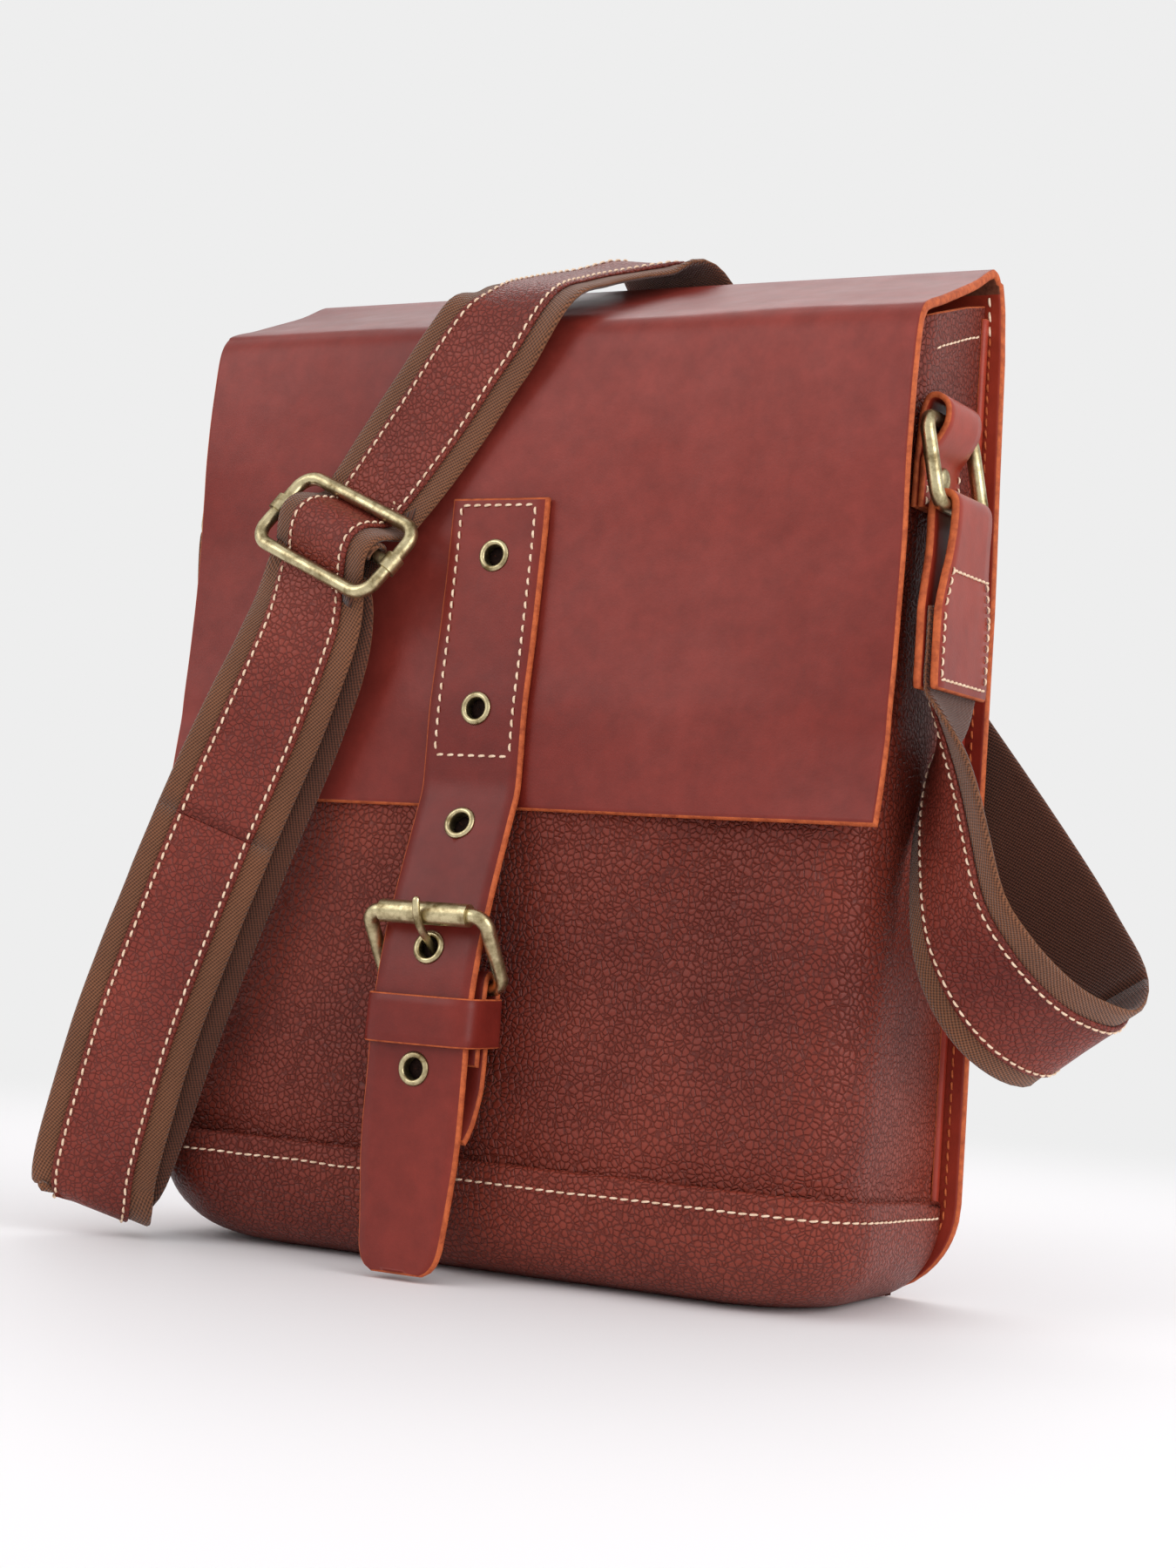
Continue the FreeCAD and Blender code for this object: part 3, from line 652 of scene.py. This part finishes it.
FLANGE_STITCH = 4.4       # stitch row from the flange's edge
flange_runs, rear_runs, pale_runs = [], [], []
for side in (-1, 1):
    inner, outer, outs, backs = [], [], [], []
    for z in spread(120, 298, 0):
        if z > FLANGE_ROUND:
            place = (side * (table(z, [(215, FLANGE_HALF), (250, 128.2), (290, 127.5)]) - FLANGE_STITCH), z)
        else:
            angle = math.acos((FLANGE_ROUND - z) / FLANGE_ROUND)
            turn = FLANGE_ROUND - FLANGE_STITCH
            place = (side * (FLANGE_HALF - FLANGE_ROUND + turn * math.sin(angle)),
                     FLANGE_ROUND - turn * math.cos(angle))
        inner.append(Vector((place[0], -4.0, place[1])))
        outer.append(Vector((place[0], -0.2, place[1])))
        outs.append(Vector((0, -1, 0)))
        backs.append(Vector((0, 1, 0)))
    flange_runs.append((inner, outs))
    rear_runs.append((outer, backs))
    top = [Vector((side * table(z, [(290, 123.4), (306, 122.6), (312, 122)]), -4.2, z))
           for z in spread(6, 311, 299)]
    pale_runs.append((top, [Vector((0, -1, 0))] * 6))
flange_thread = stitches("flange_stitches", flange_runs + rear_runs, DARK_THREAD,
                         gap=3.6, length=2.7, width=0.8)
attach(flange_thread, "root")
top_thread = stitches("flange_top_stitches", pale_runs, THREAD, gap=4.6, length=3.2, width=0.9)
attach(top_thread, "root")

# A welt strip between the gusset and the flange, down each side and round the lower corner
for side, label in ((1, "right"), (-1, "left")):
    rows = []
    for z in spread(60, 303, 4):
        x = side * (band_half(z) + 0.7)
        rows.append([Vector((x, -3.9, z)), Vector((x + side * 0.7, -5.0, z)),
                     Vector((x + side * 0.4, -6.3, z)), Vector((x - side * 0.6, -7.0, z))])
    welt = slab("welt_" + label, rows, 0.9, [TAB_FACE, RAW_EDGE], flip=side > 0)
    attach(welt, "root")

# Lining: a loose cloth bag inside
rows = []
for z in spread(40, 284, 9):
    row = []
    for a in spread(73, 0, 2 * math.pi):
        c, s = math.cos(a), math.sin(a)
        front = table(z, FRONT) + 4.5
        mid, deep = (front - 9.5) / 2, (-9.5 - front) / 2
        x = 114.0 * math.copysign(abs(c) ** 0.28, c)
        y = mid + deep * math.copysign(abs(s) ** 0.35, s)
        fold = 0.8 * rough((x, y, z * 0.5), 22.0, 12.0)
        row.append(Vector((x * (1 - 0.008 * (1 + fold)), y + fold * (-1 if y > mid else 1) * 0.6, z)))
    rows.append(row)
wall_end = rows[-1]
for u in (0.15, 0.4, 0.7, 0.97):
    rows.append([p.lerp(Vector((p.x * 0.4, -42, 5.5)), u) for p in wall_end])
lining = slab("lining_bag", rows, 0.7, [LINING, LINING], flip=True)
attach(lining, "root")
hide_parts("lining")


# ---------- closure strap and buckle

STRAP_X = -9.0            # the closure strap lies a little left of the middle
X = Vector((1, 0, 0))
NINE = (-1, -0.75, -0.5, -0.25, 0, 0.25, 0.5, 0.75, 1)


def flat_run(points, half, steps, narrow=None):
    """Rows of points for leather that follows (y, z) points at the closure strap's middle."""
    rows = []
    for p in catmull([(0, y, z) for y, z in points], steps):
        wide = half if narrow is None else table(p.z, narrow)
        rows.append([Vector((STRAP_X + wide * c, p.y, p.z)) for c in NINE])
    return rows


closure_line = [(-71.2, 238.2), (-71.6, 229), (-72.2, 220), (-75.0, 190), (-77.1, 172), (-77.7, 155),
                (-78.6, 146), (-82.4, 136.0), (-90.4, 114.0), (-95.5, 98.0), (-99.0, 80.0),
                (-99.6, 62.0), (-99.9, 52.0), (-100.6, 36), (-101.4, 20.0), (-102.4, 8), (-103.0, 1.3)]
CLOSURE_HALF = 17.0
tip = [(1.3, 8.5), (3.0, 11.5), (5.5, 13.2), (9, 14.2), (34, 16.6), (44, CLOSURE_HALF), (240, CLOSURE_HALF)]
rows = flat_run(closure_line, CLOSURE_HALF, 6, tip)
for row in rows:
    for p in row:
        cup = ((p.x - STRAP_X) / CLOSURE_HALF) ** 2
        p.y += 0.45 * cup * ease((150 - p.z) / 40) + 0.35 * rough((p.x * 0.3, 0, p.z), 26.0, 14.0)
        p.x += 0.35 * rough((0, 1, p.z), 40.0, 5.0)
closure = slab("closure_strap_leather", rows, 2.9, [STRAP_FACE, RAW_EDGE, FLESH], flip=True)


def closure_spot(z):
    """The closure strap's middle at a height, and its outward direction."""
    line = catmull([(0, y, z) for y, z in closure_line], 12)
    k = min(range(1, len(line) - 1), key=lambda i: abs(line[i].z - z))
    out = X.cross((line[k + 1] - line[k - 1]).normalized()).normalized()
    return Vector((STRAP_X, line[k].y, line[k].z)), out * (1 if out.y < 0 else -1)


def drill(thing, spots, radius):
    """Round holes through a sheet."""
    cutters = []
    for middle, out in spots:
        pin = lathe("pin", [(0.01, -6), (radius, -6), (radius, 6), (0.01, 6)], middle, out, [RAW_EDGE], 24)
        cutters.append(pin)
        cut = thing.modifiers.new("hole", "BOOLEAN")
        cut.operation = "DIFFERENCE"
        cut.solver = "EXACT"
        cut.object = pin
    bpy.context.view_layer.update()
    made = bpy.data.meshes.new_from_object(thing.evaluated_get(bpy.context.evaluated_depsgraph_get()))
    thing.modifiers.clear()
    thing.data = made
    for pin in cutters:
        bpy.data.objects.remove(pin)


EYES = (219.7, 171.8, 135.6, 98.4, 62.5)
spots = [closure_spot(z) for z in EYES]
drill(closure, spots, 3.7)
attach(closure, "flap")
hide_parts("closure_strap")

dome = [(3.25, -1.9), (3.25, 1.4), (3.45, 1.95), (3.9, 2.28), (4.5, 2.22), (5.0, 1.9), (5.28, 1.45),
        (3.7, 1.40), (3.6, -1.9)]
disc = [(0.05, -1.75), (3.62, -1.75), (3.62, -1.6), (0.05, -1.6)]
for k, (middle, out) in enumerate(spots):
    eye = lathe("eyelet_%d" % (k + 1), dome, middle, out, [BRASS], 36)
    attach(eye, "flap")
    # A dark disc under each eyelet stands in for the shade inside its hole: painted shade, not a part of
    # the bag
    hole_shade = lathe("eyelet_back_%d" % (k + 1), disc, middle, out, [HOLE_SHADE], 20)
    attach(hole_shade, "flap")
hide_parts("eyelets")

# A stitched box round the two upper eyelets holds the strap to the flap
BOX_HALF, BOX_TOP, BOX_LOW = 13.2, 235.6, 157.2
box_runs = []
rim_line = [closure_spot(z) for z in spread(30, BOX_TOP, BOX_LOW)]
for x in (-BOX_HALF, BOX_HALF):
    box_runs.append(([m + X * x + o * 1.5 for m, o in rim_line], [o for m, o in rim_line]))
for z in (BOX_TOP, BOX_LOW):
    m, o = closure_spot(z)
    box_runs.append(([m + X * x + o * 1.5 for x in (-BOX_HALF, 0, BOX_HALF)], [o] * 3))
closure_thread = stitches("closure_stitches", box_runs, THREAD, gap=3.7, length=2.5, width=0.85)
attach(closure_thread, "flap")

# The tab that holds the buckle, folded round its hinge bar, its end turned out behind the strap
tab_line = [(-91.9, 63.5), (-91.4, 76.0), (-90.2, 83.0), (-89.0, 89.9), (-86.0, 91.0), (-82.4, 89.6),
            (-82.0, 84.0), (-84.4, 77.0), (-87.0, 70.0), (-87.6, 62.0), (-88.6, 55.0), (-92.4, 46.0),
            (-96.6, 40.9)]
tab = slab("buckle_tab_leather", flat_run(tab_line, 16.8, 5), 2.3, [STRAP_FACE, RAW_EDGE], flip=True)
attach(tab, "flap")
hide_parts("buckle_tab")

# Keeper: a strip of leather round the strap and the tab
rows = []
for a in spread(61, 0, 2 * math.pi):
    c, s = math.cos(a + math.pi / 2), math.sin(a + math.pi / 2)
    x = STRAP_X + 18.4 * math.copysign(abs(c) ** 0.34, c)
    y = -91.3 + 11.2 * math.copysign(abs(s) ** 0.42, s)
    lean = 0.6 if y < -95 else 0
    rows.append([Vector((x, y + lean * c, 76.6 + 7.4 * c)) for c in (-1, -0.6, 0, 0.6, 1)])
keeper = slab("keeper_leather", rows, 1.7, [STRAP_FACE, RAW_EDGE])
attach(keeper, "keeper")
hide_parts("keeper")


# ---------- rings and their tabs

def side_strip(points, middle, widths):
    """Rows of points for leather that follows (x, z) points and spans front to back.

    widths are (z, half width) pairs."""
    rows = []
    for p in catmull([(x, 0, z) for x, z in points], 5):
        wide = table(p.z, widths)
        rows.append([Vector((p.x, middle + wide * c, p.z)) for c in (-1, -0.7, -0.35, 0, 0.35, 0.7, 1)])
    return rows


RING_Y, LEFT_RING_Y = -43.0, -37.0
TAB_STITCH = 12.8         # stitch rows from a ring tab's middle
tab_side = [(122.2, 236.0), (122.2, 250.0), (122.4, 258.0), (122.7, 264.0), (124.3, 268.7), (127.4, 269.3),
            (130.4, 266.7), (130.6, 261.5), (127.8, 256.0), (124.6, 251.5), (124.4, 247.0), (124.4, 236.0)]
for side, label, middle in ((1, "right", RING_Y), (-1, "left", LEFT_RING_Y)):
    rows = side_strip([(side * x, z) for x, z in tab_side], middle,
                      [(236, 15.0), (250, 14.4), (256, 13.4), (270, 13.0)])
    holder = slab("ring_tab_%s_leather" % label, rows, 1.8, [TAB_FACE, RAW_EDGE], flip=side < 0)
    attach(holder, "root")
    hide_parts("ring_tab_" + label)
    rivet = lathe("rivet_" + label, [(0.05, 0), (3.9, 0), (3.9, 0.5), (3.2, 1.2), (1.8, 1.7), (0.05, 1.8)],
                  (side * 125.3, middle, 246.0), (side, 0, 0), [BRASS], 24)
    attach(rivet, "root")
    runs = []
    outs = [Vector((side, 0, 0))] * 2
    ends = middle - TAB_STITCH, middle + TAB_STITCH
    for y in ends:
        runs.append(([Vector((side * 125.35, y, z)) for z in (250, 238)], outs))
    runs.append(([Vector((side * 125.35, y, 238)) for y in ends], outs))
    held = stitches("ring_tab_%s_stitches" % label, runs, THREAD, gap=3.4, length=2.4, width=0.8)
    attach(held, "root")
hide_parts("ring_rivets")

end_line = [(129.9, 182.0), (129.9, 205.0), (129.0, 221.0), (127.9, 235.0), (129.0, 239.2), (131.6, 240.3),
            (134.2, 239.2), (135.3, 235.0), (135.4, 222.0), (135.1, 205.0), (135.1, 182.0)]
END_Y = -46.0
rows = side_strip(end_line, END_Y,
                  [(182, 20.4), (184, 21), (206, 21), (220, 16.0), (228, 14.8), (241, 14.6)])
for row in rows:
    for p in row:
        if p.z > 216:
            p.y += min(p.z - 216, 22) * 0.14
end_tab = slab("strap_end_leather", rows, 2.4, [TAB_FACE, RAW_EDGE])
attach(end_tab, "ring_right")
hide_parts("strap_end_tab")
corners = [(END_Y - 18.2, 185.0), (END_Y - 18.2, 206.0), (END_Y - 14.0, 217.0), (END_Y + 14.2, 217.0),
           (END_Y + 18.2, 206.0), (END_Y + 18.2, 185.0), (END_Y - 18.2, 185.0)]
outer_x = [(182, 136.4), (205, 136.45), (222, 136.8)]
inner_x = [(182, 128.6), (205, 128.6), (221, 127.8)]
runs = []
for (ya, za), (yb, zb) in zip(corners, corners[1:]):
    for sign in (1, -1):
        line = []
        for t in spread(8, 0, 1):
            y, z = ya + (yb - ya) * t, za + (zb - za) * t
            line.append(Vector((table(z, outer_x if sign > 0 else inner_x), y, z)))
        runs.append((line, [Vector((sign, 0, 0))] * 8))
end_thread = stitches("strap_end_stitches", runs, THREAD, gap=3.3, length=2.5, width=0.85)
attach(end_thread, "ring_right")


# ---------- shoulder strap

# The webbing's middle line and the direction across it, as in the part. ROUTE runs from the
# right end tab behind the bag, over the top, down the front, round the fold near the floor
# and up to the left ring. INNER goes on over the ring and back inside the first layer.
ROUTE = [
    ((132.5, -46.0, 206.0), (0, -1, 0)),
    ((132.5, -46.0, 194.0), (0, -1, 0)),
    ((132.5, -46.0, 184.0), (0, -1, 0)),
    ((132.6, -46.6, 175.0), (0.12, -1, 0)),
    ((133.2, -50.5, 160.0), (0.55, -0.83, 0)),
    ((139.0, -58.0, 138.0), (0.79, -0.61, -0.02)),
    ((145.0, -60.0, 115.0), (0.81, -0.40, 0.42)),
    ((154.0, -52.0, 96.0), (0.72, -0.22, 0.67)),
    ((163.0, -39.0, 85.0), (0.76, -0.10, 0.64)),
    ((170.0, -22.0, 82.0), (0.80, 0, 0.60)),
    ((168.0, -5.0, 92.0), (0.80, 0, 0.60)),
    ((156.0, 4.0, 108.0), (0.79, 0, 0.61)),
    ((137.0, 6.0, 133.6), (0.78, 0, 0.62)),
    ((94.0, 7.0, 188.0), (0.79, 0, 0.61)),
    ((53.0, 7.0, 241.0), (0.82, 0, 0.57)),
    ((25.0, 7.0, 286.0), (0.87, -0.02, 0.50)),
    ((11.5, 7.0, 313.0), (0.92, -0.10, 0.32)),
    ((3.0, -2.6, 325.6), (0.95, -0.26, -0.14)),
    ((-6.0, -22.0, 319.5), (0.93, -0.32, -0.13)),
    ((-9.0, -44.0, 312.0), (0.95, -0.25, -0.12)),
    ((-9.0, -62.0, 305.0), (0.98, -0.15, -0.10)),
    ((-13.0, -71.0, 295.0), (0.99, 0.03, -0.10)),
    ((-22.0, -73.0, 282.0), (0.95, 0, -0.30)),
    ((-34.0, -72.8, 265.0), (0.89, 0, -0.45)),
    ((-45.5, -73.0, 249.5), (0.90, -0.05, -0.42)),
    ((-55.0, -73.4, 236.9), (0.91, -0.12, -0.39)),
    ((-56.1, -73.7, 234.5), (0.91, -0.12, -0.39)),
    ((-57.5, -76.7, 232.2), (0.91, -0.12, -0.39)),
    ((-59.2, -85.4, 230.9), (0.91, -0.12, -0.39)),
    ((-60.9, -89.2, 228.2), (0.91, -0.12, -0.39)),
    ((-62.8, -89.4, 223.7), (0.91, -0.12, -0.39)),
    ((-65.6, -85.9, 216.1), (0.91, -0.12, -0.39)),
    ((-67.2, -85.8, 212.4), (0.91, -0.12, -0.39)),
    ((-68.0, -88.0, 198.0), (0.92, 0.05, -0.39)),
    ((-71.0, -91.0, 184.0), (0.90, 0.15, -0.40)),
    ((-78.5, -94.5, 161.0), (0.87, 0.32, -0.37)),
    ((-89.5, -98.0, 131.0), (0.85, 0.38, -0.36)),
    ((-100.0, -101.0, 100.0), (0.85, 0.38, -0.36)),
    ((-110.0, -103.5, 69.0), (0.85, 0.40, -0.34)),
    ((-117.5, -105.0, 39.0), (0.85, 0.40, -0.34)),
    ((-121.3, -105.4, 21.0), (0.85, 0.41, -0.34)),
    ((-123.2, -103.2, 12.5), (0.80, 0.48, -0.35)),
    ((-127.0, -98.8, 10.2), (0.70, 0.63, -0.33)),
    ((-132.0, -95.0, 14.5), (0.54, 0.79, -0.28)),
    ((-133.4, -88.5, 26.0), (0.40, 0.90, -0.18)),
    ((-132.3, -81.5, 42.0), (0.28, 0.96, -0.09)),
    ((-130.6, -71.5, 64.0), (0.17, 0.98, -0.04)),
    ((-127.8, -57.0, 105.0), (0.05, 1, 0)),
    ((-127.8, -45.0, 150.0), (0, 1, 0)),
    ((-131.0, -38.0, 190.0), (0, 1, 0)),
    ((-133.2, -37.0, 216.0), (0, 1, 0)),
]
INNER = [
    ((-133.5, -37.0, 228.5), (0, 1, 0)),
    ((-132.4, -37.0, 231.8), (0, 1, 0)),
    ((-129.2, -37.0, 233.1), (0, 1, 0)),
    ((-126.0, -37.0, 231.8), (0, 1, 0)),
    ((-124.8, -37.0, 228.5), (0, 1, 0)),
    ((-124.4, -37.0, 216.0), (0, 1, 0)),
    ((-124.2, -38.0, 190.0), (0, 1, 0)),
    ((-124.0, -45.0, 150.0), (0, 1, 0)),
    ((-124.6, -57.0, 105.0), (0.05, 1, 0)),
    ((-127.0, -71.0, 62.0), (0.20, 0.98, -0.05)),
    ((-129.2, -83.0, 39.0), (0.32, 0.94, -0.12)),
    ((-132.0, -93.6, 27.0), (0.46, 0.86, -0.22)),
    ((-127.6, -99.8, 20.5), (0.66, 0.69, -0.30)),
    ((-121.0, -100.5, 22.0), (0.80, 0.50, -0.33)),
    ((-117.0, -100.5, 30.0), (0.85, 0.41, -0.34)),
    ((-113.5, -99.5, 42.0), (0.85, 0.40, -0.34)),
    ((-105.5, -98.0, 69.0), (0.85, 0.40, -0.34)),
    ((-95.5, -95.5, 100.0), (0.85, 0.38, -0.36)),
    ((-85.0, -92.5, 131.0), (0.85, 0.38, -0.36)),
    ((-74.5, -89.0, 161.0), (0.87, 0.32, -0.37)),
    ((-67.5, -86.0, 184.0), (0.90, 0.15, -0.40)),
    ((-66.0, -83.8, 200.0), (0.91, 0.02, -0.39)),
    ((-67.3, -83.3, 211.3), (0.91, -0.12, -0.39)),
    ((-64.5, -82.5, 217.8), (0.91, -0.12, -0.39)),
    ((-61.6, -81.0, 224.1), (0.91, -0.12, -0.39)),
    ((-60.5, -80.8, 226.4), (0.91, -0.12, -0.39)),
    ((-59.9, -82.5, 228.3), (0.91, -0.12, -0.39)),
    ((-60.2, -85.1, 228.6), (0.91, -0.12, -0.39)),
    ((-61.0, -87.0, 227.1), (0.91, -0.12, -0.39)),
    ((-61.4, -87.3, 226.4), (0.91, -0.12, -0.39)),
]


STEPS = 5                 # rows from one station to the next


def strap_frames(stations):
    """Middle, across and outward directions at each row."""
    middles = catmull([m for m, _ in stations], STEPS)
    acrosses = catmull([a for _, a in stations], STEPS)
    frames = []
    for i, middle in enumerate(middles):
        along = (middles[min(i + 1, len(middles) - 1)] - middles[max(i - 1, 0)]).normalized()
        across = acrosses[i] - along * acrosses[i].dot(along)
        across.normalize()
        frames.append((middle, across, along.cross(across)))
    return frames


frames = strap_frames(ROUTE + INNER)

# Stations where the webbing passes from one piece to the next
LOOP, UNDER, FOLD = 10, 36, 42
OVER = len(ROUTE) + 2
INNER_FOLD = 63
LAST = len(ROUTE) + len(INNER) - 1
WEBBING_HALF, FACING_HALF = 20.0, 13.0


def gathered(place):
    """The share of the webbing's left half that stays where it folds near the floor, and its
    inner layer's distance inward there."""
    outer = (place - STEPS * FOLD - 5) / 7
    inner = (place - STEPS * INNER_FOLD - 1) / 8
    near = math.exp(-inner * inner)
    return 1 - 0.15 * math.exp(-outer * outer) - 0.55 * near, 2.4 * near


def strap_rows(part, first, half, lift, columns):
    """Rows of points across part, whose first row is the first-th of the whole webbing."""
    rows = []
    for k, (middle, across, out) in enumerate(part):
        row = []
        drawn, tucked = gathered(first + k)
        for c in columns:
            c = c * drawn if c < 0 else c
            sign = 1 if c > 0 else -1
            curl = 0.175 * rough(middle + across * (c * WEBBING_HALF), 34.0, 21.0)
            wave = 0.21 * rough(middle + across * (sign * WEBBING_HALF), 15.0, 3.0) * c * c
            row.append(middle + across * (half * c + wave * sign) + out * (lift + curl - tucked))
        rows.append(row)
    return rows


def blended(thing, start, end):
    start, end = (tuple((Vector(p) + BACK) / 1000) for p in (start, end))
    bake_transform(thing)


CREASE = ((0, -4.8, 316), (0, -19.0, 316))
parts = [
    ("right_hanger", 0, LOOP, "ring_right", "root", (132.6, -46, 178), (146, -58, 112)),
    ("over_the_top", LOOP, UNDER, "root", "flap") + CREASE,
    ("front_run", UNDER, FOLD, "flap", "root", (-90, -98, 130), (-118, -105, 36)),
    ("left_rise", FOLD, OVER, "root", "ring_left", (-127.8, -47, 150), (-131, -43, 200)),
    ("left_fall", OVER, INNER_FOLD, "ring_left", "root", (-124.2, -43, 200), (-124, -47, 150)),
    ("inner_run", INNER_FOLD, LAST, "root", "flap", (-115, -100, 36), (-86, -93, 130)),
]
WEBBING_COLUMNS = (-1, -0.86, -0.6, -0.3, 0, 0.3, 0.6, 0.86, 1)
FACING_COLUMNS = (-1, -0.93, -0.87, -0.8, -0.5, 0, 0.5, 0.8, 0.87, 0.93, 1)
for label, a, b, first, second, start, end in parts:
    part = frames[STEPS * a:STEPS * b + 1]
    # The webbing's inner side takes the darker copy of the weave, which is painted shade
    cloth = slab("webbing_" + label, strap_rows(part, STEPS * a, WEBBING_HALF, 0.0, WEBBING_COLUMNS), 1.9,
                 [WEBBING, SELVEDGE, WEBBING_SHADED_SIDE], flip=True, soft=0.4, ends=False)
    blended(cloth, start, end)
    if label in ("left_fall", "inner_run"):
        continue
    # The facing stops short of the left ring and starts below the right end tab
    if label == "left_rise":
        part = part[:-3 * STEPS]
    if label == "right_hanger":
        part = part[int(2.6 * STEPS):]
    rows = strap_rows(part, STEPS * a, FACING_HALF, 1.62, FACING_COLUMNS)
    cover_strip = slab("facing_" + label, rows, 1.25, [FACING, FACING, FACING], flip=True, soft=0.35,
                       ends=label == "front_run")
    blended(cover_strip, start, end)
    runs = [([m + c * x + o * 2.3 for m, c, o in part], [o for m, c, o in part]) for x in (-11.3, 11.3)]
    thread = stitches("strap_stitches_" + label, runs, THREAD, gap=3.3, length=2.5, width=0.8)
    blended(thread, start, end)
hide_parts("shoulder_webbing")
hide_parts("strap_facing")


# ---------- metal from the frame, floor, light, camera

for name in ("buckle_frame", "buckle_roller", "buckle_prong", "ring_right", "ring_left", "slider_frame",
             "slider_bar", "snap_socket", "snap_stud"):
    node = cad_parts[name]
    node.data.materials.clear()
    node.data.materials.append(BRASS)


BACKDROP = (0.855, 0.855, 0.855, 1)


def floor_material():
    """A pale table near the bag that fades into the backdrop's own brightness."""
    made, tree, shader = material("floor", Roughness=0.6, Specular_IOR_Level=0.2)
    shader.inputs["Base Color"].default_value = (0.90, 0.885, 0.90, 1)
    glow = add(tree, "Emission", Color=BACKDROP, Strength=1.0)
    place = add(tree, "TexCoord").outputs["Object"]
    far = add(tree, "VectorMath", operation="LENGTH")
    tree.links.new(place, far.inputs[0])
    fade = add(tree, "MapRange")
    fade.interpolation_type = "SMOOTHSTEP"
    fade.inputs["From Min"].default_value = 0.30
    fade.inputs["From Max"].default_value = 0.75
    tree.links.new(far.outputs["Value"], fade.inputs["Value"])
    both = add(tree, "MixShader")
    tree.links.new(fade.outputs["Result"], both.inputs[0])
    tree.links.new(shader.outputs[0], both.inputs[1])
    tree.links.new(glow.outputs[0], both.inputs[2])
    tree.links.new(both.outputs[0], tree.nodes["Material Output"].inputs["Surface"])
    return made


floor_mesh = bpy.data.meshes.new("floor")
floor_mesh.from_pydata([(x, y, -0.0006) for x, y in ((-12, -12), (12, -12), (12, 12), (-12, 12))], [],
                       [(0, 1, 2, 3)])
floor_mesh.materials.append(floor_material())
floor = bpy.data.objects.new("floor", floor_mesh)
bpy.context.scene.collection.objects.link(floor)

world = bpy.data.worlds.new("studio")
bpy.context.scene.world = world
world.use_nodes = True
world.node_tree.nodes["Background"].inputs[0].default_value = BACKDROP
world.node_tree.nodes["Background"].inputs[1].default_value = 1.0


def lamp(name, place, target, size, watts):
    data = bpy.data.lights.new(name, "AREA")
    data.shape = "RECTANGLE"
    data.size, data.size_y = size
    data.energy = watts
    thing = bpy.data.objects.new(name, data)
    thing.location = place
    thing.rotation_euler = (Vector(target) - Vector(place)).to_track_quat("-Z", "Y").to_euler()
    bpy.context.scene.collection.objects.link(thing)


lamp("key", (-0.9, -1.2, 1.0), (0, 0, 0.14), (1.1, 0.9), 6)
lamp("top_back", (-0.2, 0.9, 1.3), (0, 0, 0.30), (1.4, 0.6), 4)
lamp("right_fill", (1.3, -0.3, 0.6), (0, 0, 0.15), (0.8, 1.0), 8)

# The viewer stands a little right of the bag, near its base's height, and looks slightly up
yaw, pitch, roll = math.radians(28.17), math.radians(-2.63), math.radians(3.66)
ahead = Vector((-math.sin(yaw) * math.cos(pitch), math.cos(yaw) * math.cos(pitch), -math.sin(pitch)))
right = Vector((math.cos(yaw), math.sin(yaw), 0))
above = right.cross(ahead)
cam_right = right * math.cos(roll) + above * math.sin(roll)
cam_up = above * math.cos(roll) - right * math.sin(roll)
camera_data = bpy.data.cameras.new("camera")
camera_data.sensor_width = 36.0
camera_data.lens = 62.0
camera_data.clip_start = 0.01
camera = bpy.data.objects.new("camera", camera_data)
turned = Matrix((cam_right, cam_up, -ahead)).transposed().to_4x4()
camera.matrix_world = Matrix.Translation(Vector((0.4134, -0.7513, 0.1130))) @ turned
bpy.context.scene.collection.objects.link(camera)
bpy.context.scene.camera = camera
bpy.context.scene.view_settings.view_transform = "Standard"
